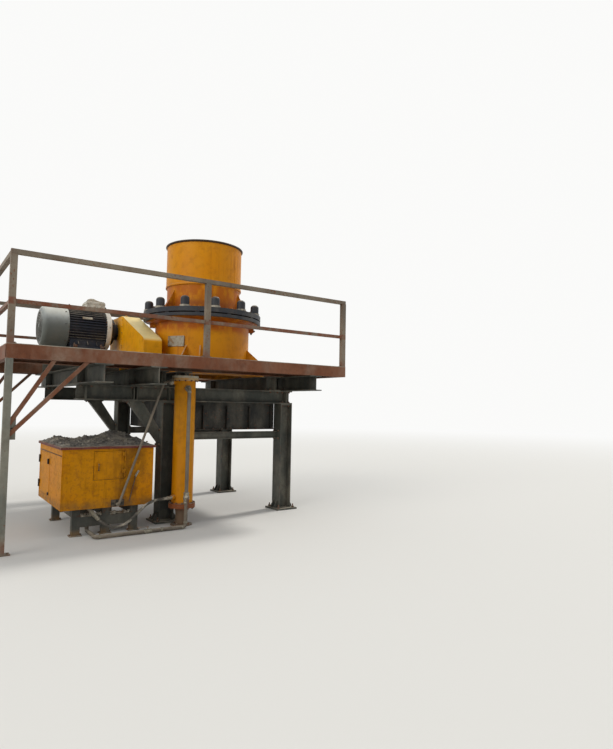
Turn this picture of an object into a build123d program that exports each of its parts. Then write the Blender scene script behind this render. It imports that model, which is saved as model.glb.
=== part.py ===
"""Cone crusher on its steel stand, with its drive, service platform and oil station.

Millimetres, +Z up. The origin lies on the ground under the middle of the platform.
X runs along the motor, from the fan cowl to the crusher. The oil station stands on the -Y side.
"""
import os
from math import cos, hypot, radians, sin, sqrt, tan

from build123d import *

os.makedirs("parts", exist_ok=True)

# Driving dimensions: platform
platform_length = 4870
platform_width = 3960
deck_top_z = 2350
deck_plate_thickness = 8
edge_beam_height = 160
edge_beam_width = 75
edge_beam_flange = 10
edge_beam_web = 8
joist_width = 65
joist_clearance = 35
crusher_to_open_end = 1605
rail_height = 1070
mid_rail_height = 480
rail_post_size = 70
top_rail_size = 56
mid_rail_size = 46
strut_size = 45
long_strut_foot_z = 1300
short_strut_foot_z = 1420
strut_beam_gap = 60
short_strut_share = 0.55
panel_gap = 4
deck_clearance = 60
guard_deck_clearance = 40

# Driving dimensions: stand
cross_beam_height = 235
main_beam_height = 210
beam_width = 220
beam_flange = 16
beam_web = 12
drive_beam_offset = 315
guard_bearer_inset = 35
main_beam_y = 1050
main_beam_reach_left = 2300
column_x = 1020
column_width = 220
column_flange = 16
column_web = 12
column_plate_size = 380
column_plate_thickness = 25
anchor_spacing = 280
anchor_hole_diameter = 26
tie_bottom_z = 1170
tie_height = 110
tie_width = 90
tie_flange = 10
tie_web = 8
knee_top_reach = 490
knee_foot_z = 1110
knee_depth = 150
knee_width = 100
chute_bottom_z = 1310
chute_plate = 12

# Driving dimensions: crusher
base_flange_radius = 1080
base_flange_thickness = 60
frame_radius = 800
frame_wall = 80
frame_rim_radius = 950
frame_rim_height = 60
frame_height = 918
rib_pair_count = 4
rib_pair_angle = -125
rib_pair_half = 8
rib_thickness = 20
rib_foot_radius = 1050
rib_shoulder_radius = 1010
rib_shoulder_height = 280
rib_top_height = 465
hub_radius = 260
hub_height = 610
arm_count = 4
arm_width = 130
arm_height = 300
ring_radius = 1000
lower_ring_height = 50
ring_gap = 20
upper_ring_height = 75
ring_bridge_size = 70
ring_bridge_inset = 15
cylinder_count = 12
cylinder_angle = 17
cylinder_radius = 70
cylinder_height = 180
cylinder_dome_radius = 52
cylinder_collar_radius = 82
cylinder_collar_height = 30
lug_count = 4
lug_angle = -20
lug_reach = 90
lug_seat = 20
lug_width = 100
lug_height = 50
neck_radius = 622
neck_height = 435
neck_wall = 12
gusset_count = 6
gusset_angle = 15
gusset_thickness = 14
gusset_reach = 200
gusset_height = 355
gusset_tip = 5
hopper_radius = 640
hopper_height = 735
hopper_wall = 10
hopper_ring_reach = 8
hopper_ring_height = 24
hopper_lip_radius = 16
liner_top_radius = 560
liner_depth = 150
liner_wall = 45
liner_clearance = 20
liner_top_relief = 15
liner_foot_height = 40
mantle_top_radius = 175
mantle_skirt_radius = 650
mantle_height = 560
mantle_skirt_height = 118
feed_plate_radius = 215
feed_plate_thickness = 45
plate_bolt_radius = 48
plate_bolt_height = 32

# Driving dimensions: drive
shaft_height = 290
housing_radius = 185
housing_flange_radius = 225
housing_flange_thickness = 45
housing_reach = 890
guard_thickness = 295
guard_front_reach = 430
guard_nose_z = 2722
guard_slope_back_y = 700
guard_top_z = 3200
guard_back_reach = 310
guard_corner = 60
guard_nose_radius = 110
motor_y = 1050
motor_axis_z = 2950
motor_foot_drop = 355
motor_cowl_radius = 340
motor_cowl_length = 400
motor_cowl_edge = 75
motor_body_radius = 298
motor_body_length = 610
motor_fin_count = 44
motor_fin_height = 36
motor_fin_thickness = 9
motor_shield_radius = 342
motor_shield_length = 80
motor_shield_edge = 18
motor_bell_radius = 225
motor_bell_length = 80
motor_boss_radius = 140
motor_boss_length = 75
terminal_box_length = 300
terminal_box_width = 330
terminal_box_height = 150
terminal_box_setback = 10
terminal_box_corner = 30
foot_spacing = 580
foot_width = 110
foot_thickness = 45
foot_end_inset = 30
foot_web_thickness = 30
foot_web_inset = 60
foot_web_height = 200
slide_rail_height = 95
slide_rail_width = 90
slide_rail_length = 760
slide_rail_flange = 16
slide_rail_web = 30
slide_rail_inset = 90
bearer_width = 160
bearer_guard_gap = 5
nameplate_length = 300
nameplate_height = 170
nameplate_thickness = 6
nameplate_angle = -146
nameplate_z = 2712

# Driving dimensions: oil station
station_length = 1160
station_depth = 1400
station_front_y = -1500
station_from_crusher = 2530
station_bottom_z = 345
station_height = 760
station_wall = 5
lid_overhang = 28
lid_thickness = 34
lid_edge = 8
door_gap = 5
door_thickness = 6
hatch_width = 390
hatch_height = 370
hatch_left_offset = 380
hatch_drop = 32
side_door_width = 660
side_door_height = 580
side_door_back_offset = 30
side_door_sill = 80
hinge_radius = 9
hinge_pin_radius = 4.5
hinge_length = 55
hinge_clearance = 0.4
hinge_standoff = 14
hatch_hinge_inset = 74
side_hinge_inset = 116
handle_inset = 60
handle_drop = 20
handle_length = 110
handle_width = 26
handle_depth = 22
lock_inset = 60
lock_drop = 110
lock_width = 40
lock_height = 70
lock_depth = 24
skid_beam_width = 80
skid_beam_height = 125
skid_end_inset = 160
skid_side_inset = 80
skid_leg_width = 100
skid_leg_height = 110
tank_height = 330
tank_inset = 130

# Driving dimensions: oil cooler and its pipes
cooler_from_crusher = -900
cooler_y = -1420
cooler_radius = 148
cooler_bottom_z = 310
cooler_top_z = 2072
cooler_flange_radius = 185
cooler_flange_thickness = 60
cooler_cap_thickness = 30
cooler_neck_radius = 85
cooler_foot_radius = 150
cooler_foot_thickness = 15
cooler_port_radius = 34
cooler_port_length = 50
inlet_drop = 60
outlet_drop = 150
outlet_angle = 258
hose_port_rise = 90
hose_port_angle = 200
pipe_radius = 25
pipe_bend = 70
pipe_clearance = 12
pipe_floor_gap = 5
return_inlet_offset = 380
return_inlet_depth = 220
return_bend_radius = 35
feed_pipe_radius = 16
feed_inlet_offset = 460
feed_inlet_rise = 35
feed_elbow_reach = 175
feed_elbow_drop = 35
feed_bend_radius = 30
hose_radius = 18
hose_straight = 130
hose_tail_radius = 26
hose_bend_share = 0.45
fit_gap = 0.3

# Derived places
deck_bottom_z = deck_top_z - deck_plate_thickness
edge_beam_bottom_z = deck_bottom_z - edge_beam_height
main_beam_top_z = edge_beam_bottom_z - cross_beam_height
main_beam_bottom_z = main_beam_top_z - main_beam_height
half_length = platform_length / 2
half_width = platform_width / 2
crusher_x = half_length - crusher_to_open_end
base_z = edge_beam_bottom_z
frame_top_z = base_z + frame_height
lower_ring_top_z = frame_top_z + lower_ring_height
upper_ring_bottom_z = lower_ring_top_z + ring_gap
upper_ring_top_z = upper_ring_bottom_z + upper_ring_height
neck_top_z = upper_ring_top_z + neck_height
shaft_z = base_z + shaft_height
bore_radius = frame_radius - frame_wall
guard_right_x = crusher_x - housing_reach
guard_left_x = guard_right_x - guard_thickness
guard_back_y = motor_y + guard_back_reach
front_deck_y = -base_flange_radius - joist_clearance - joist_width
back_deck_y = max(guard_back_y, base_flange_radius) + joist_clearance + joist_width

crusher_ground = Plane((crusher_x, 0, 0))
crusher_section = Plane((crusher_x, 0, 0), x_dir=(1, 0, 0), z_dir=(0, -1, 0))
crusher_axis = Axis((crusher_x, 0, 0), (0, 0, 1))


class ISection(BaseSketchObject):
    """An I-shaped beam section, its height along the local Y."""

    def __init__(
        self, height, width, flange, web, rotation=0, align=(Align.CENTER, Align.CENTER), mode=Mode.ADD
    ):
        with BuildSketch() as section:
            Rectangle(web, height)
            with Locations((0, (height - flange) / 2), (0, (flange - height) / 2)):
                Rectangle(width, flange)
        super().__init__(obj=section.sketch, rotation=rotation, align=align, mode=mode)


class ChannelSection(BaseSketchObject):
    """A channel section with its web on the local Y axis and its flanges towards +X."""

    def __init__(self, height, width, flange, web, rotation=0, align=None, mode=Mode.ADD):
        with BuildSketch() as section:
            with Locations((web / 2, 0)):
                Rectangle(web, height)
            with Locations((width / 2, (height - flange) / 2), (width / 2, (flange - height) / 2)):
                Rectangle(width, flange)
        super().__init__(obj=section.sketch, rotation=rotation, align=align, mode=mode)


def save(builder, name):
    """Labels a finished piece and writes its file."""
    builder.part.label = name
    export_step(builder.part, f"parts/{name}.step")
    return builder.part


def across(y):
    """The plane at a given Y, seen from the front: local X is +X and local Y is +Z."""
    return Plane((0, y, 0), x_dir=(1, 0, 0), z_dir=(0, -1, 0))


def along(x):
    """The plane at a given X: local X is +Y and local Y is +Z, and it extrudes towards +X."""
    return Plane((x, 0, 0), x_dir=(0, 1, 0), z_dir=(1, 0, 0))


def level(z):
    """The horizontal plane at a given height."""
    return Plane.XY.offset(z)


# Stand: four columns with anchored base plates
column_places = [(crusher_x + x, y) for x in (-column_x, column_x) for y in (-main_beam_y, main_beam_y)]
with BuildPart() as columns:
    with BuildSketch(level(0)):
        with Locations(*column_places):
            Rectangle(column_plate_size, column_plate_size)
            with GridLocations(anchor_spacing, anchor_spacing, 2, 2):
                Circle(anchor_hole_diameter / 2, mode=Mode.SUBTRACT)
    extrude(amount=column_plate_thickness)
    with BuildSketch(level(column_plate_thickness)):
        with Locations(*column_places):
            ISection(column_width, column_width, column_flange, column_web, rotation=90)
    extrude(amount=main_beam_bottom_z - 2 * column_plate_thickness)
    with BuildSketch(level(main_beam_bottom_z - column_plate_thickness)):
        with Locations(*column_places):
            Rectangle(beam_width, beam_width)
    extrude(amount=column_plate_thickness)
save(columns, "columns")

# Stand: main beams along X
main_beam_left_x = crusher_x - main_beam_reach_left
main_beam_right_x = crusher_x + column_x + column_width / 2
main_beam_mid_z = (main_beam_top_z + main_beam_bottom_z) / 2
with BuildPart() as main_beams:
    with BuildSketch(along(main_beam_left_x)):
        with Locations((-main_beam_y, main_beam_mid_z), (main_beam_y, main_beam_mid_z)):
            ISection(main_beam_height, beam_width, beam_flange, beam_web)
    extrude(amount=main_beam_right_x - main_beam_left_x)
save(main_beams, "main_beams")

# Stand: cross beams, the long ones carry the walkways too
motor_nose_length = motor_boss_length + motor_bell_length + motor_shield_length
motor_left_x = guard_left_x - motor_nose_length - motor_body_length - motor_cowl_length
long_cross_beams = (
    main_beam_left_x + beam_width / 2,
    guard_left_x - drive_beam_offset,
    crusher_x + column_x,
)
crusher_bearer_x = (base_flange_radius + bore_radius) / 2 - beam_width / 2
short_cross_beams = (
    guard_left_x + guard_bearer_inset,
    crusher_x - crusher_bearer_x,
    crusher_x + crusher_bearer_x,
)
short_beam_reach = main_beam_y + beam_width / 2
with BuildPart() as cross_beams:
    for reach, places in ((half_width, long_cross_beams), (short_beam_reach, short_cross_beams)):
        with BuildSketch(across(reach)):
            with Locations(*((x, (base_z + main_beam_top_z) / 2) for x in places)):
                ISection(cross_beam_height, beam_width, beam_flange, beam_web)
        extrude(amount=2 * reach)
save(cross_beams, "cross_beams")

# Stand: tie beams between the columns, and knee braces out to the cantilevered main beams
tie_length = 2 * column_x - column_width
tie_mid_z = tie_bottom_z + tie_height / 2
knee_x = crusher_x - column_x - column_width / 2
knee_rise = knee_depth * sqrt(2)
with BuildPart() as stand_braces:
    with BuildSketch(along(crusher_x - tie_length / 2)):
        with Locations((-main_beam_y, tie_mid_z), (main_beam_y, tie_mid_z)):
            ISection(tie_height, tie_width, tie_flange, tie_web)
    extrude(amount=tie_length)
    for brace_y in (-main_beam_y, main_beam_y):
        with BuildSketch(across(brace_y + knee_width / 2)):
            with BuildLine():
                Polyline(
                    (knee_x, knee_foot_z),
                    (knee_x, knee_foot_z + knee_rise),
                    (knee_x - knee_top_reach + knee_rise, main_beam_bottom_z),
                    (knee_x - knee_top_reach, main_beam_bottom_z),
                    close=True,
                )
            make_face()
        extrude(amount=knee_width)
save(stand_braces, "stand_braces")

# Stand: discharge box, four plates under the crusher
chute_half_x = column_x - column_width / 2 - chute_plate
chute_inner_y = main_beam_y - beam_width / 2
with BuildPart() as discharge_box:
    with BuildSketch(level(chute_bottom_z)):
        with Locations((crusher_x, 0)):
            Rectangle(2 * chute_half_x, 2 * (chute_inner_y + chute_plate))
            Rectangle(2 * (chute_half_x - chute_plate), 2 * chute_inner_y, mode=Mode.SUBTRACT)
    extrude(amount=main_beam_bottom_z - chute_bottom_z)
save(discharge_box, "discharge_box")

# Platform: edge beams, inner joists and deck plates
beam_mid_z = (deck_bottom_z + edge_beam_bottom_z) / 2
with BuildPart() as long_edge_beams:
    with BuildSketch(along(-half_length)):
        with Locations((-half_width, beam_mid_z)):
            ChannelSection(edge_beam_height, edge_beam_width, edge_beam_flange, edge_beam_web)
        with Locations((half_width, beam_mid_z)):
            ChannelSection(edge_beam_height, edge_beam_width, edge_beam_flange, edge_beam_web, rotation=180)
    extrude(amount=platform_length)
save(long_edge_beams, "long_edge_beams")

end_beam_length = platform_width - 2 * edge_beam_width
with BuildPart() as end_edge_beams:
    with BuildSketch(across(end_beam_length / 2)):
        with Locations((-half_length, beam_mid_z)):
            ChannelSection(edge_beam_height, edge_beam_width, edge_beam_flange, edge_beam_web)
        with Locations((half_length, beam_mid_z)):
            ChannelSection(edge_beam_height, edge_beam_width, edge_beam_flange, edge_beam_web, rotation=180)
    extrude(amount=end_beam_length)
save(end_edge_beams, "end_edge_beams")

joist_length = platform_length - 2 * edge_beam_width
with BuildPart() as deck_joists:
    with BuildSketch(along(-joist_length / 2)):
        with Locations((front_deck_y + joist_width / 2, beam_mid_z)):
            ChannelSection(edge_beam_height, joist_width, edge_beam_flange, edge_beam_web, rotation=180)
        with Locations((back_deck_y - joist_width / 2, beam_mid_z)):
            ChannelSection(edge_beam_height, joist_width, edge_beam_flange, edge_beam_web)
    extrude(amount=joist_length)
save(deck_joists, "deck_joists")

pit_front_y = front_deck_y + panel_gap
pit_back_y = back_deck_y - panel_gap
left_panel_end_x = motor_left_x - deck_clearance
right_panel_start_x = crusher_x + base_flange_radius + deck_clearance
drive_panel_end_x = guard_left_x - guard_deck_clearance
drive_panel_back_y = motor_y - foot_spacing / 2 - bearer_width / 2 - guard_deck_clearance


def panel(x_start, x_end, y_start, y_end):
    """One flat rectangular plate of the deck, given by its sides."""
    with Locations(((x_start + x_end) / 2, (y_start + y_end) / 2)):
        Rectangle(x_end - x_start, y_end - y_start)


with BuildPart() as deck_plates:
    with BuildSketch(level(deck_bottom_z)):
        panel(-half_length, half_length, -half_width, front_deck_y)
        panel(-half_length, half_length, back_deck_y, half_width)
        panel(-half_length, left_panel_end_x, pit_front_y, pit_back_y)
        panel(right_panel_start_x, half_length, pit_front_y, pit_back_y)
        panel(left_panel_end_x + panel_gap, drive_panel_end_x, pit_front_y, drive_panel_back_y)
    extrude(amount=deck_plate_thickness)
save(deck_plates, "deck_plates")

# Platform: handrails along the front, the back and the left end
post_inset = edge_beam_width / 2
rail_y = half_width - post_inset
rail_left_x = -half_length + post_inset
rail_right_x = half_length - post_inset
top_rail_z = deck_top_z + rail_height - top_rail_size / 2
mid_rail_z = deck_top_z + mid_rail_height
rail_post_places = (rail_left_x, (rail_left_x + rail_right_x) / 2, rail_right_x)
with BuildPart() as long_handrails:
    with BuildSketch(level(deck_top_z)):
        with Locations(*((x, y) for x in rail_post_places for y in (-rail_y, rail_y))):
            Rectangle(rail_post_size, rail_post_size)
    extrude(amount=rail_height - top_rail_size)
    with BuildSketch(along(rail_left_x - rail_post_size / 2)):
        with Locations((-rail_y, top_rail_z), (rail_y, top_rail_z)):
            Rectangle(top_rail_size, top_rail_size)
        with Locations((-rail_y, mid_rail_z), (rail_y, mid_rail_z)):
            Rectangle(mid_rail_size, mid_rail_size)
    extrude(amount=rail_right_x - rail_left_x + rail_post_size)
save(long_handrails, "long_handrails")

end_rail_half = rail_y - rail_post_size / 2
with BuildPart() as handrail_left:
    with BuildSketch(level(deck_top_z)):
        with Locations((rail_left_x, 0)):
            Rectangle(rail_post_size, rail_post_size)
    extrude(amount=rail_height - top_rail_size)
    with BuildSketch(across(end_rail_half)):
        with Locations((rail_left_x, top_rail_z)):
            Rectangle(top_rail_size, top_rail_size)
        with Locations((rail_left_x, mid_rail_z)):
            Rectangle(mid_rail_size, mid_rail_size)
    extrude(amount=2 * end_rail_half)
save(handrail_left, "handrail_left")

# Platform: ground posts under the left corners, with two struts each
with BuildPart() as ground_posts:
    with BuildSketch(level(0)):
        with Locations((rail_left_x, -rail_y), (rail_left_x, rail_y)):
            Rectangle(edge_beam_width, edge_beam_width)
    extrude(amount=edge_beam_bottom_z)
save(ground_posts, "ground_posts")


strut_foot_x = rail_left_x + edge_beam_width / 2
long_strut_reach = main_beam_left_x - strut_beam_gap - strut_foot_x


def strut_outline(foot_z, reach):
    """A slanted bar from the post's right face up to the underside of the edge beam."""
    rise = edge_beam_bottom_z - foot_z
    length = hypot(reach, rise)
    along_x = strut_size * length / rise
    up_z = strut_size * length / reach
    Polyline(
        (strut_foot_x, foot_z),
        (strut_foot_x, foot_z + up_z),
        (strut_foot_x + reach - along_x, edge_beam_bottom_z),
        (strut_foot_x + reach, edge_beam_bottom_z),
        close=True,
    )


strut_kinds = (
    (long_strut_foot_z, long_strut_reach),
    (short_strut_foot_z, long_strut_reach * short_strut_share),
)
with BuildPart() as deck_struts:
    for foot_z, reach in strut_kinds:
        with BuildSketch(across(-rail_y + strut_size / 2)):
            with BuildLine():
                strut_outline(foot_z, reach)
            make_face()
        extrude(amount=strut_size)
    mirror(about=Plane.XZ)
save(deck_struts, "deck_struts")

# Crusher: main frame's shell, open on the left where the countershaft housing comes out
flange_top_z = base_z + base_flange_thickness
rim_bottom_z = frame_top_z - frame_rim_height
with BuildPart() as main_frame:
    with BuildSketch(level(flange_top_z)):
        with Locations((crusher_x, 0)):
            Circle(frame_radius)
            Circle(bore_radius, mode=Mode.SUBTRACT)
    extrude(amount=rim_bottom_z - flange_top_z)
    with BuildSketch(along(crusher_x - housing_reach)):
        with Locations((0, shaft_z)):
            Circle(housing_radius + fit_gap)
    extrude(amount=housing_reach, mode=Mode.SUBTRACT)
save(main_frame, "main_frame")

# Crusher: the frame's foot flange and its flared rim with four lugs, cut flat where the belt guard stands
with BuildPart() as lug:
    with BuildSketch(level(rim_bottom_z - lug_height)):
        with Locations((frame_radius + fit_gap, 0)):
            Rectangle(lug_reach, lug_width, align=(Align.MIN, Align.CENTER))
    extrude(amount=lug_height + lug_seat)

with BuildPart(crusher_ground) as frame_flanges:
    with BuildSketch(crusher_section):
        with BuildLine():
            Polyline(
                (bore_radius, base_z),
                (base_flange_radius, base_z),
                (base_flange_radius, flange_top_z),
                (bore_radius, flange_top_z),
                close=True,
            )
        make_face()
        with BuildLine():
            Polyline(
                (bore_radius, rim_bottom_z),
                (frame_radius, rim_bottom_z),
                (frame_rim_radius, frame_top_z - frame_rim_height / 4),
                (frame_rim_radius, frame_top_z),
                (bore_radius, frame_top_z),
                close=True,
            )
        make_face()
    revolve(axis=crusher_axis)
    with PolarLocations(0, lug_count, start_angle=lug_angle):
        add(lug.part)
    split(bisect_by=along(guard_right_x))
save(frame_flanges, "frame_flanges")

# Crusher: ribs that stiffen the frame's foot, in pairs clear of the countershaft housing
with BuildPart() as rib:
    with BuildSketch(Plane.XZ):
        with BuildLine():
            Polyline(
                (frame_radius, flange_top_z),
                (rib_foot_radius, flange_top_z),
                (rib_shoulder_radius, base_z + rib_shoulder_height),
                (frame_radius, base_z + rib_top_height),
                close=True,
            )
        make_face()
    extrude(amount=rib_thickness / 2, both=True)

with BuildPart(crusher_ground) as frame_ribs:
    for rib_angle in (rib_pair_angle - rib_pair_half, rib_pair_angle + rib_pair_half):
        with PolarLocations(0, rib_pair_count, start_angle=rib_angle):
            add(rib.part)
    split(bisect_by=along(guard_right_x))
save(frame_ribs, "frame_ribs")

# Crusher: the hub on its arms, with the countershaft housing that comes out towards the belt guard
with BuildPart() as arm:
    with BuildSketch(level(flange_top_z)):
        Rectangle(frame_radius, arm_width, align=(Align.MIN, Align.CENTER))
    extrude(amount=arm_height)

with BuildPart(crusher_ground) as frame_hub:
    with BuildSketch(level(flange_top_z)):
        with Locations((crusher_x, 0)):
            Circle(hub_radius)
    extrude(amount=hub_height - base_flange_thickness)
    with PolarLocations(0, arm_count, start_angle=180 / arm_count):
        add(arm.part)
    with BuildSketch(level(base_z)):
        with Locations((crusher_x, 0)):
            Circle(bore_radius - fit_gap)
    extrude(amount=frame_height, mode=Mode.INTERSECT)
    with BuildSketch(along(guard_right_x)):
        with Locations((0, shaft_z)):
            Circle(housing_radius)
    extrude(amount=housing_reach - hub_radius / 2)
    with BuildSketch(along(guard_right_x)):
        with Locations((0, shaft_z)):
            Circle(housing_flange_radius)
    extrude(amount=housing_flange_thickness)
save(frame_hub, "frame_hub")

# Crusher: adjustment rings with the bridging blocks between them
with BuildPart() as lower_ring:
    with BuildSketch(level(frame_top_z)):
        with Locations((crusher_x, 0)):
            Circle(ring_radius)
            Circle(bore_radius, mode=Mode.SUBTRACT)
    extrude(amount=lower_ring_height)
save(lower_ring, "lower_adjustment_ring")

with BuildPart() as upper_ring:
    with BuildSketch(level(upper_ring_bottom_z)):
        with Locations((crusher_x, 0)):
            Circle(ring_radius)
            Circle(neck_radius + fit_gap, mode=Mode.SUBTRACT)
    extrude(amount=upper_ring_height)
save(upper_ring, "upper_adjustment_ring")

bridge_circle_radius = ring_radius - ring_bridge_inset - ring_bridge_size / 2
with BuildPart() as ring_bridges:
    with BuildSketch(level(lower_ring_top_z)):
        with Locations((crusher_x, 0)):
            with PolarLocations(bridge_circle_radius, cylinder_count):
                Rectangle(ring_bridge_size, ring_bridge_size)
    extrude(amount=ring_gap)
save(ring_bridges, "ring_bridges")

# Crusher: clamping cylinders with domed caps, their collars flush with the ring's edge
cylinder_circle_radius = ring_radius - cylinder_collar_radius
with BuildPart() as clamping_cylinders:
    with BuildSketch(level(upper_ring_top_z)):
        with Locations((crusher_x, 0)):
            with PolarLocations(cylinder_circle_radius, cylinder_count, start_angle=cylinder_angle):
                Circle(cylinder_radius)
    extrude(amount=cylinder_height)
    fillet(clamping_cylinders.edges().group_by(Axis.Z)[-1], cylinder_dome_radius)
    with BuildSketch(level(upper_ring_top_z)):
        with Locations((crusher_x, 0)):
            with PolarLocations(cylinder_circle_radius, cylinder_count, start_angle=cylinder_angle):
                Circle(cylinder_collar_radius)
    extrude(amount=cylinder_collar_height)
save(clamping_cylinders, "clamping_cylinders")

# Crusher: hopper neck through the upper ring, with its gussets, and the feed hopper with a curled rim
with BuildPart() as gusset:
    with BuildSketch(Plane.XZ):
        with BuildLine():
            Polyline(
                (neck_radius, upper_ring_top_z),
                (neck_radius + gusset_reach, upper_ring_top_z),
                (neck_radius + gusset_tip, upper_ring_top_z + gusset_height),
                (neck_radius, upper_ring_top_z + gusset_height),
                close=True,
            )
        make_face()
    extrude(amount=gusset_thickness / 2, both=True)

with BuildPart(crusher_ground) as neck_gussets:
    with PolarLocations(0, gusset_count, start_angle=gusset_angle):
        add(gusset.part)
save(neck_gussets, "neck_gussets")

with BuildPart() as hopper_neck:
    with BuildSketch(level(upper_ring_bottom_z)):
        with Locations((crusher_x, 0)):
            Circle(neck_radius)
            Circle(neck_radius - neck_wall, mode=Mode.SUBTRACT)
    extrude(amount=neck_top_z - upper_ring_bottom_z)
save(hopper_neck, "hopper_neck")

hopper_top_z = neck_top_z + hopper_height
with BuildPart() as feed_hopper:
    with BuildSketch(crusher_section):
        with BuildLine():
            Polyline(
                (neck_radius - neck_wall, neck_top_z),
                (hopper_radius + hopper_ring_reach, neck_top_z),
                (hopper_radius + hopper_ring_reach, neck_top_z + hopper_ring_height),
                (hopper_radius, neck_top_z + hopper_ring_height),
                (hopper_radius, hopper_top_z - hopper_lip_radius),
                (hopper_radius - hopper_wall, hopper_top_z - hopper_lip_radius),
                (hopper_radius - hopper_wall, neck_top_z + hopper_ring_height),
                (neck_radius - neck_wall, neck_top_z + hopper_ring_height),
                close=True,
            )
        make_face()
        with Locations((hopper_radius + hopper_lip_radius / 2, hopper_top_z - hopper_lip_radius)):
            Circle(hopper_lip_radius)
    revolve(axis=crusher_axis)
save(feed_hopper, "feed_hopper")

# Crusher: bowl liner under the upper ring and the neck, and the cone head that it closes on
liner_top_z = upper_ring_bottom_z
liner_bottom_z = frame_top_z - liner_depth
liner_rest_radius = bore_radius - liner_clearance
with BuildPart() as bowl_liner:
    with BuildSketch(crusher_section):
        with BuildLine():
            Polyline(
                (liner_top_radius - liner_wall, liner_top_z),
                (liner_rest_radius - liner_top_relief, liner_top_z),
                (liner_rest_radius, liner_bottom_z + liner_foot_height),
                (liner_rest_radius, liner_bottom_z),
                (liner_rest_radius - liner_wall, liner_bottom_z),
                close=True,
            )
        make_face()
    revolve(axis=crusher_axis)
save(bowl_liner, "bowl_liner")

hub_top_z = base_z + hub_height
mantle_top_z = hub_top_z + mantle_height
with BuildPart() as cone_head:
    with BuildSketch(crusher_section):
        with BuildLine():
            Polyline(
                (0, hub_top_z),
                (hub_radius, hub_top_z),
                (hub_radius, hub_top_z + mantle_skirt_height / 2),
                (mantle_skirt_radius, hub_top_z + mantle_skirt_height / 2),
                (mantle_skirt_radius, hub_top_z + mantle_skirt_height),
                (mantle_top_radius, mantle_top_z),
                (0, mantle_top_z),
                close=True,
            )
        make_face()
    revolve(axis=crusher_axis)
save(cone_head, "cone_head")

with BuildPart() as feed_plate:
    with BuildSketch(level(mantle_top_z)):
        with Locations((crusher_x, 0)):
            Circle(feed_plate_radius)
    extrude(amount=feed_plate_thickness)
    with BuildSketch(level(mantle_top_z + feed_plate_thickness)):
        with Locations((crusher_x, 0)):
            RegularPolygon(plate_bolt_radius, 6)
    extrude(amount=plate_bolt_height)
save(feed_plate, "feed_plate")

# Crusher: bare nameplate on a flat pad of the shell
plate_out_x = cos(radians(nameplate_angle))
plate_out_y = sin(radians(nameplate_angle))
plate_plane = Plane(
    (crusher_x + frame_radius * plate_out_x, frame_radius * plate_out_y, nameplate_z),
    x_dir=(-plate_out_y, plate_out_x, 0),
    z_dir=(plate_out_x, plate_out_y, 0),
)
plate_sagitta = frame_radius - sqrt(frame_radius**2 - (nameplate_length / 2) ** 2)
with BuildPart() as nameplate:
    with BuildSketch(plate_plane.offset(-plate_sagitta)):
        Rectangle(nameplate_length, nameplate_height)
    extrude(amount=plate_sagitta + nameplate_thickness)
    with BuildSketch(level(nameplate_z - nameplate_height)):
        with Locations((crusher_x, 0)):
            Circle(frame_radius + fit_gap)
    extrude(amount=2 * nameplate_height, mode=Mode.SUBTRACT)
save(nameplate, "nameplate")

# Drive: belt guard, a flat closed box across the machine that slopes down to the front
with BuildPart() as belt_guard:
    with BuildSketch(along(guard_left_x)):
        with BuildLine():
            FilletPolyline(
                (-guard_front_reach, base_z),
                (-guard_front_reach, guard_nose_z),
                (guard_slope_back_y, guard_top_z),
                (guard_back_y, guard_top_z),
                (guard_back_y, base_z),
                radius=(guard_nose_radius, guard_corner, guard_corner),
            )
            Line((guard_back_y, base_z), (-guard_front_reach, base_z))
        make_face()
    extrude(amount=guard_thickness)
save(belt_guard, "belt_guard")

# Drive: motor along X, its end shield stepping down to a boss that meets the guard
boss_left_x = guard_left_x - motor_boss_length
bell_left_x = boss_left_x - motor_bell_length
shield_left_x = bell_left_x - motor_shield_length
body_left_x = shield_left_x - motor_body_length
cowl_left_x = body_left_x - motor_cowl_length
foot_z = motor_axis_z - motor_foot_drop

with BuildPart() as motor_end_shield:
    with BuildSketch(along(shield_left_x)):
        with Locations((motor_y, motor_axis_z)):
            Circle(motor_shield_radius)
    extrude(amount=motor_shield_length)
    with BuildSketch(along(bell_left_x)):
        with Locations((motor_y, motor_axis_z)):
            Circle(motor_bell_radius)
    extrude(amount=motor_bell_length)
    with BuildSketch(along(boss_left_x)):
        with Locations((motor_y, motor_axis_z)):
            Circle(motor_boss_radius)
    extrude(amount=motor_boss_length)
    fillet(motor_end_shield.edges().filter_by(GeomType.CIRCLE).sort_by(Axis.X)[1], motor_shield_edge)
save(motor_end_shield, "motor_end_shield")

with BuildPart() as motor_body:
    with BuildSketch(along(body_left_x)):
        with Locations((motor_y, motor_axis_z)):
            Circle(motor_body_radius)
            with PolarLocations(motor_body_radius, motor_fin_count):
                Rectangle(2 * motor_fin_height, motor_fin_thickness)
    extrude(amount=motor_body_length)
    foot_y = foot_spacing / 2
    foot_web_y = motor_body_radius - foot_web_inset
    foot_inner_y = foot_web_y - foot_web_thickness / 2
    foot_outer_y = foot_y + foot_width / 2
    foot_mid_y = (foot_inner_y + foot_outer_y) / 2
    with BuildSketch(along(body_left_x + foot_end_inset)):
        with Locations((motor_y - foot_mid_y, foot_z), (motor_y + foot_mid_y, foot_z)):
            Rectangle(foot_outer_y - foot_inner_y, foot_thickness, align=(Align.CENTER, Align.MIN))
        with Locations((motor_y - foot_web_y, foot_z), (motor_y + foot_web_y, foot_z)):
            Rectangle(foot_web_thickness, foot_web_height, align=(Align.CENTER, Align.MIN))
    extrude(amount=motor_body_length - 2 * foot_end_inset)
save(motor_body, "motor_body")

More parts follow.
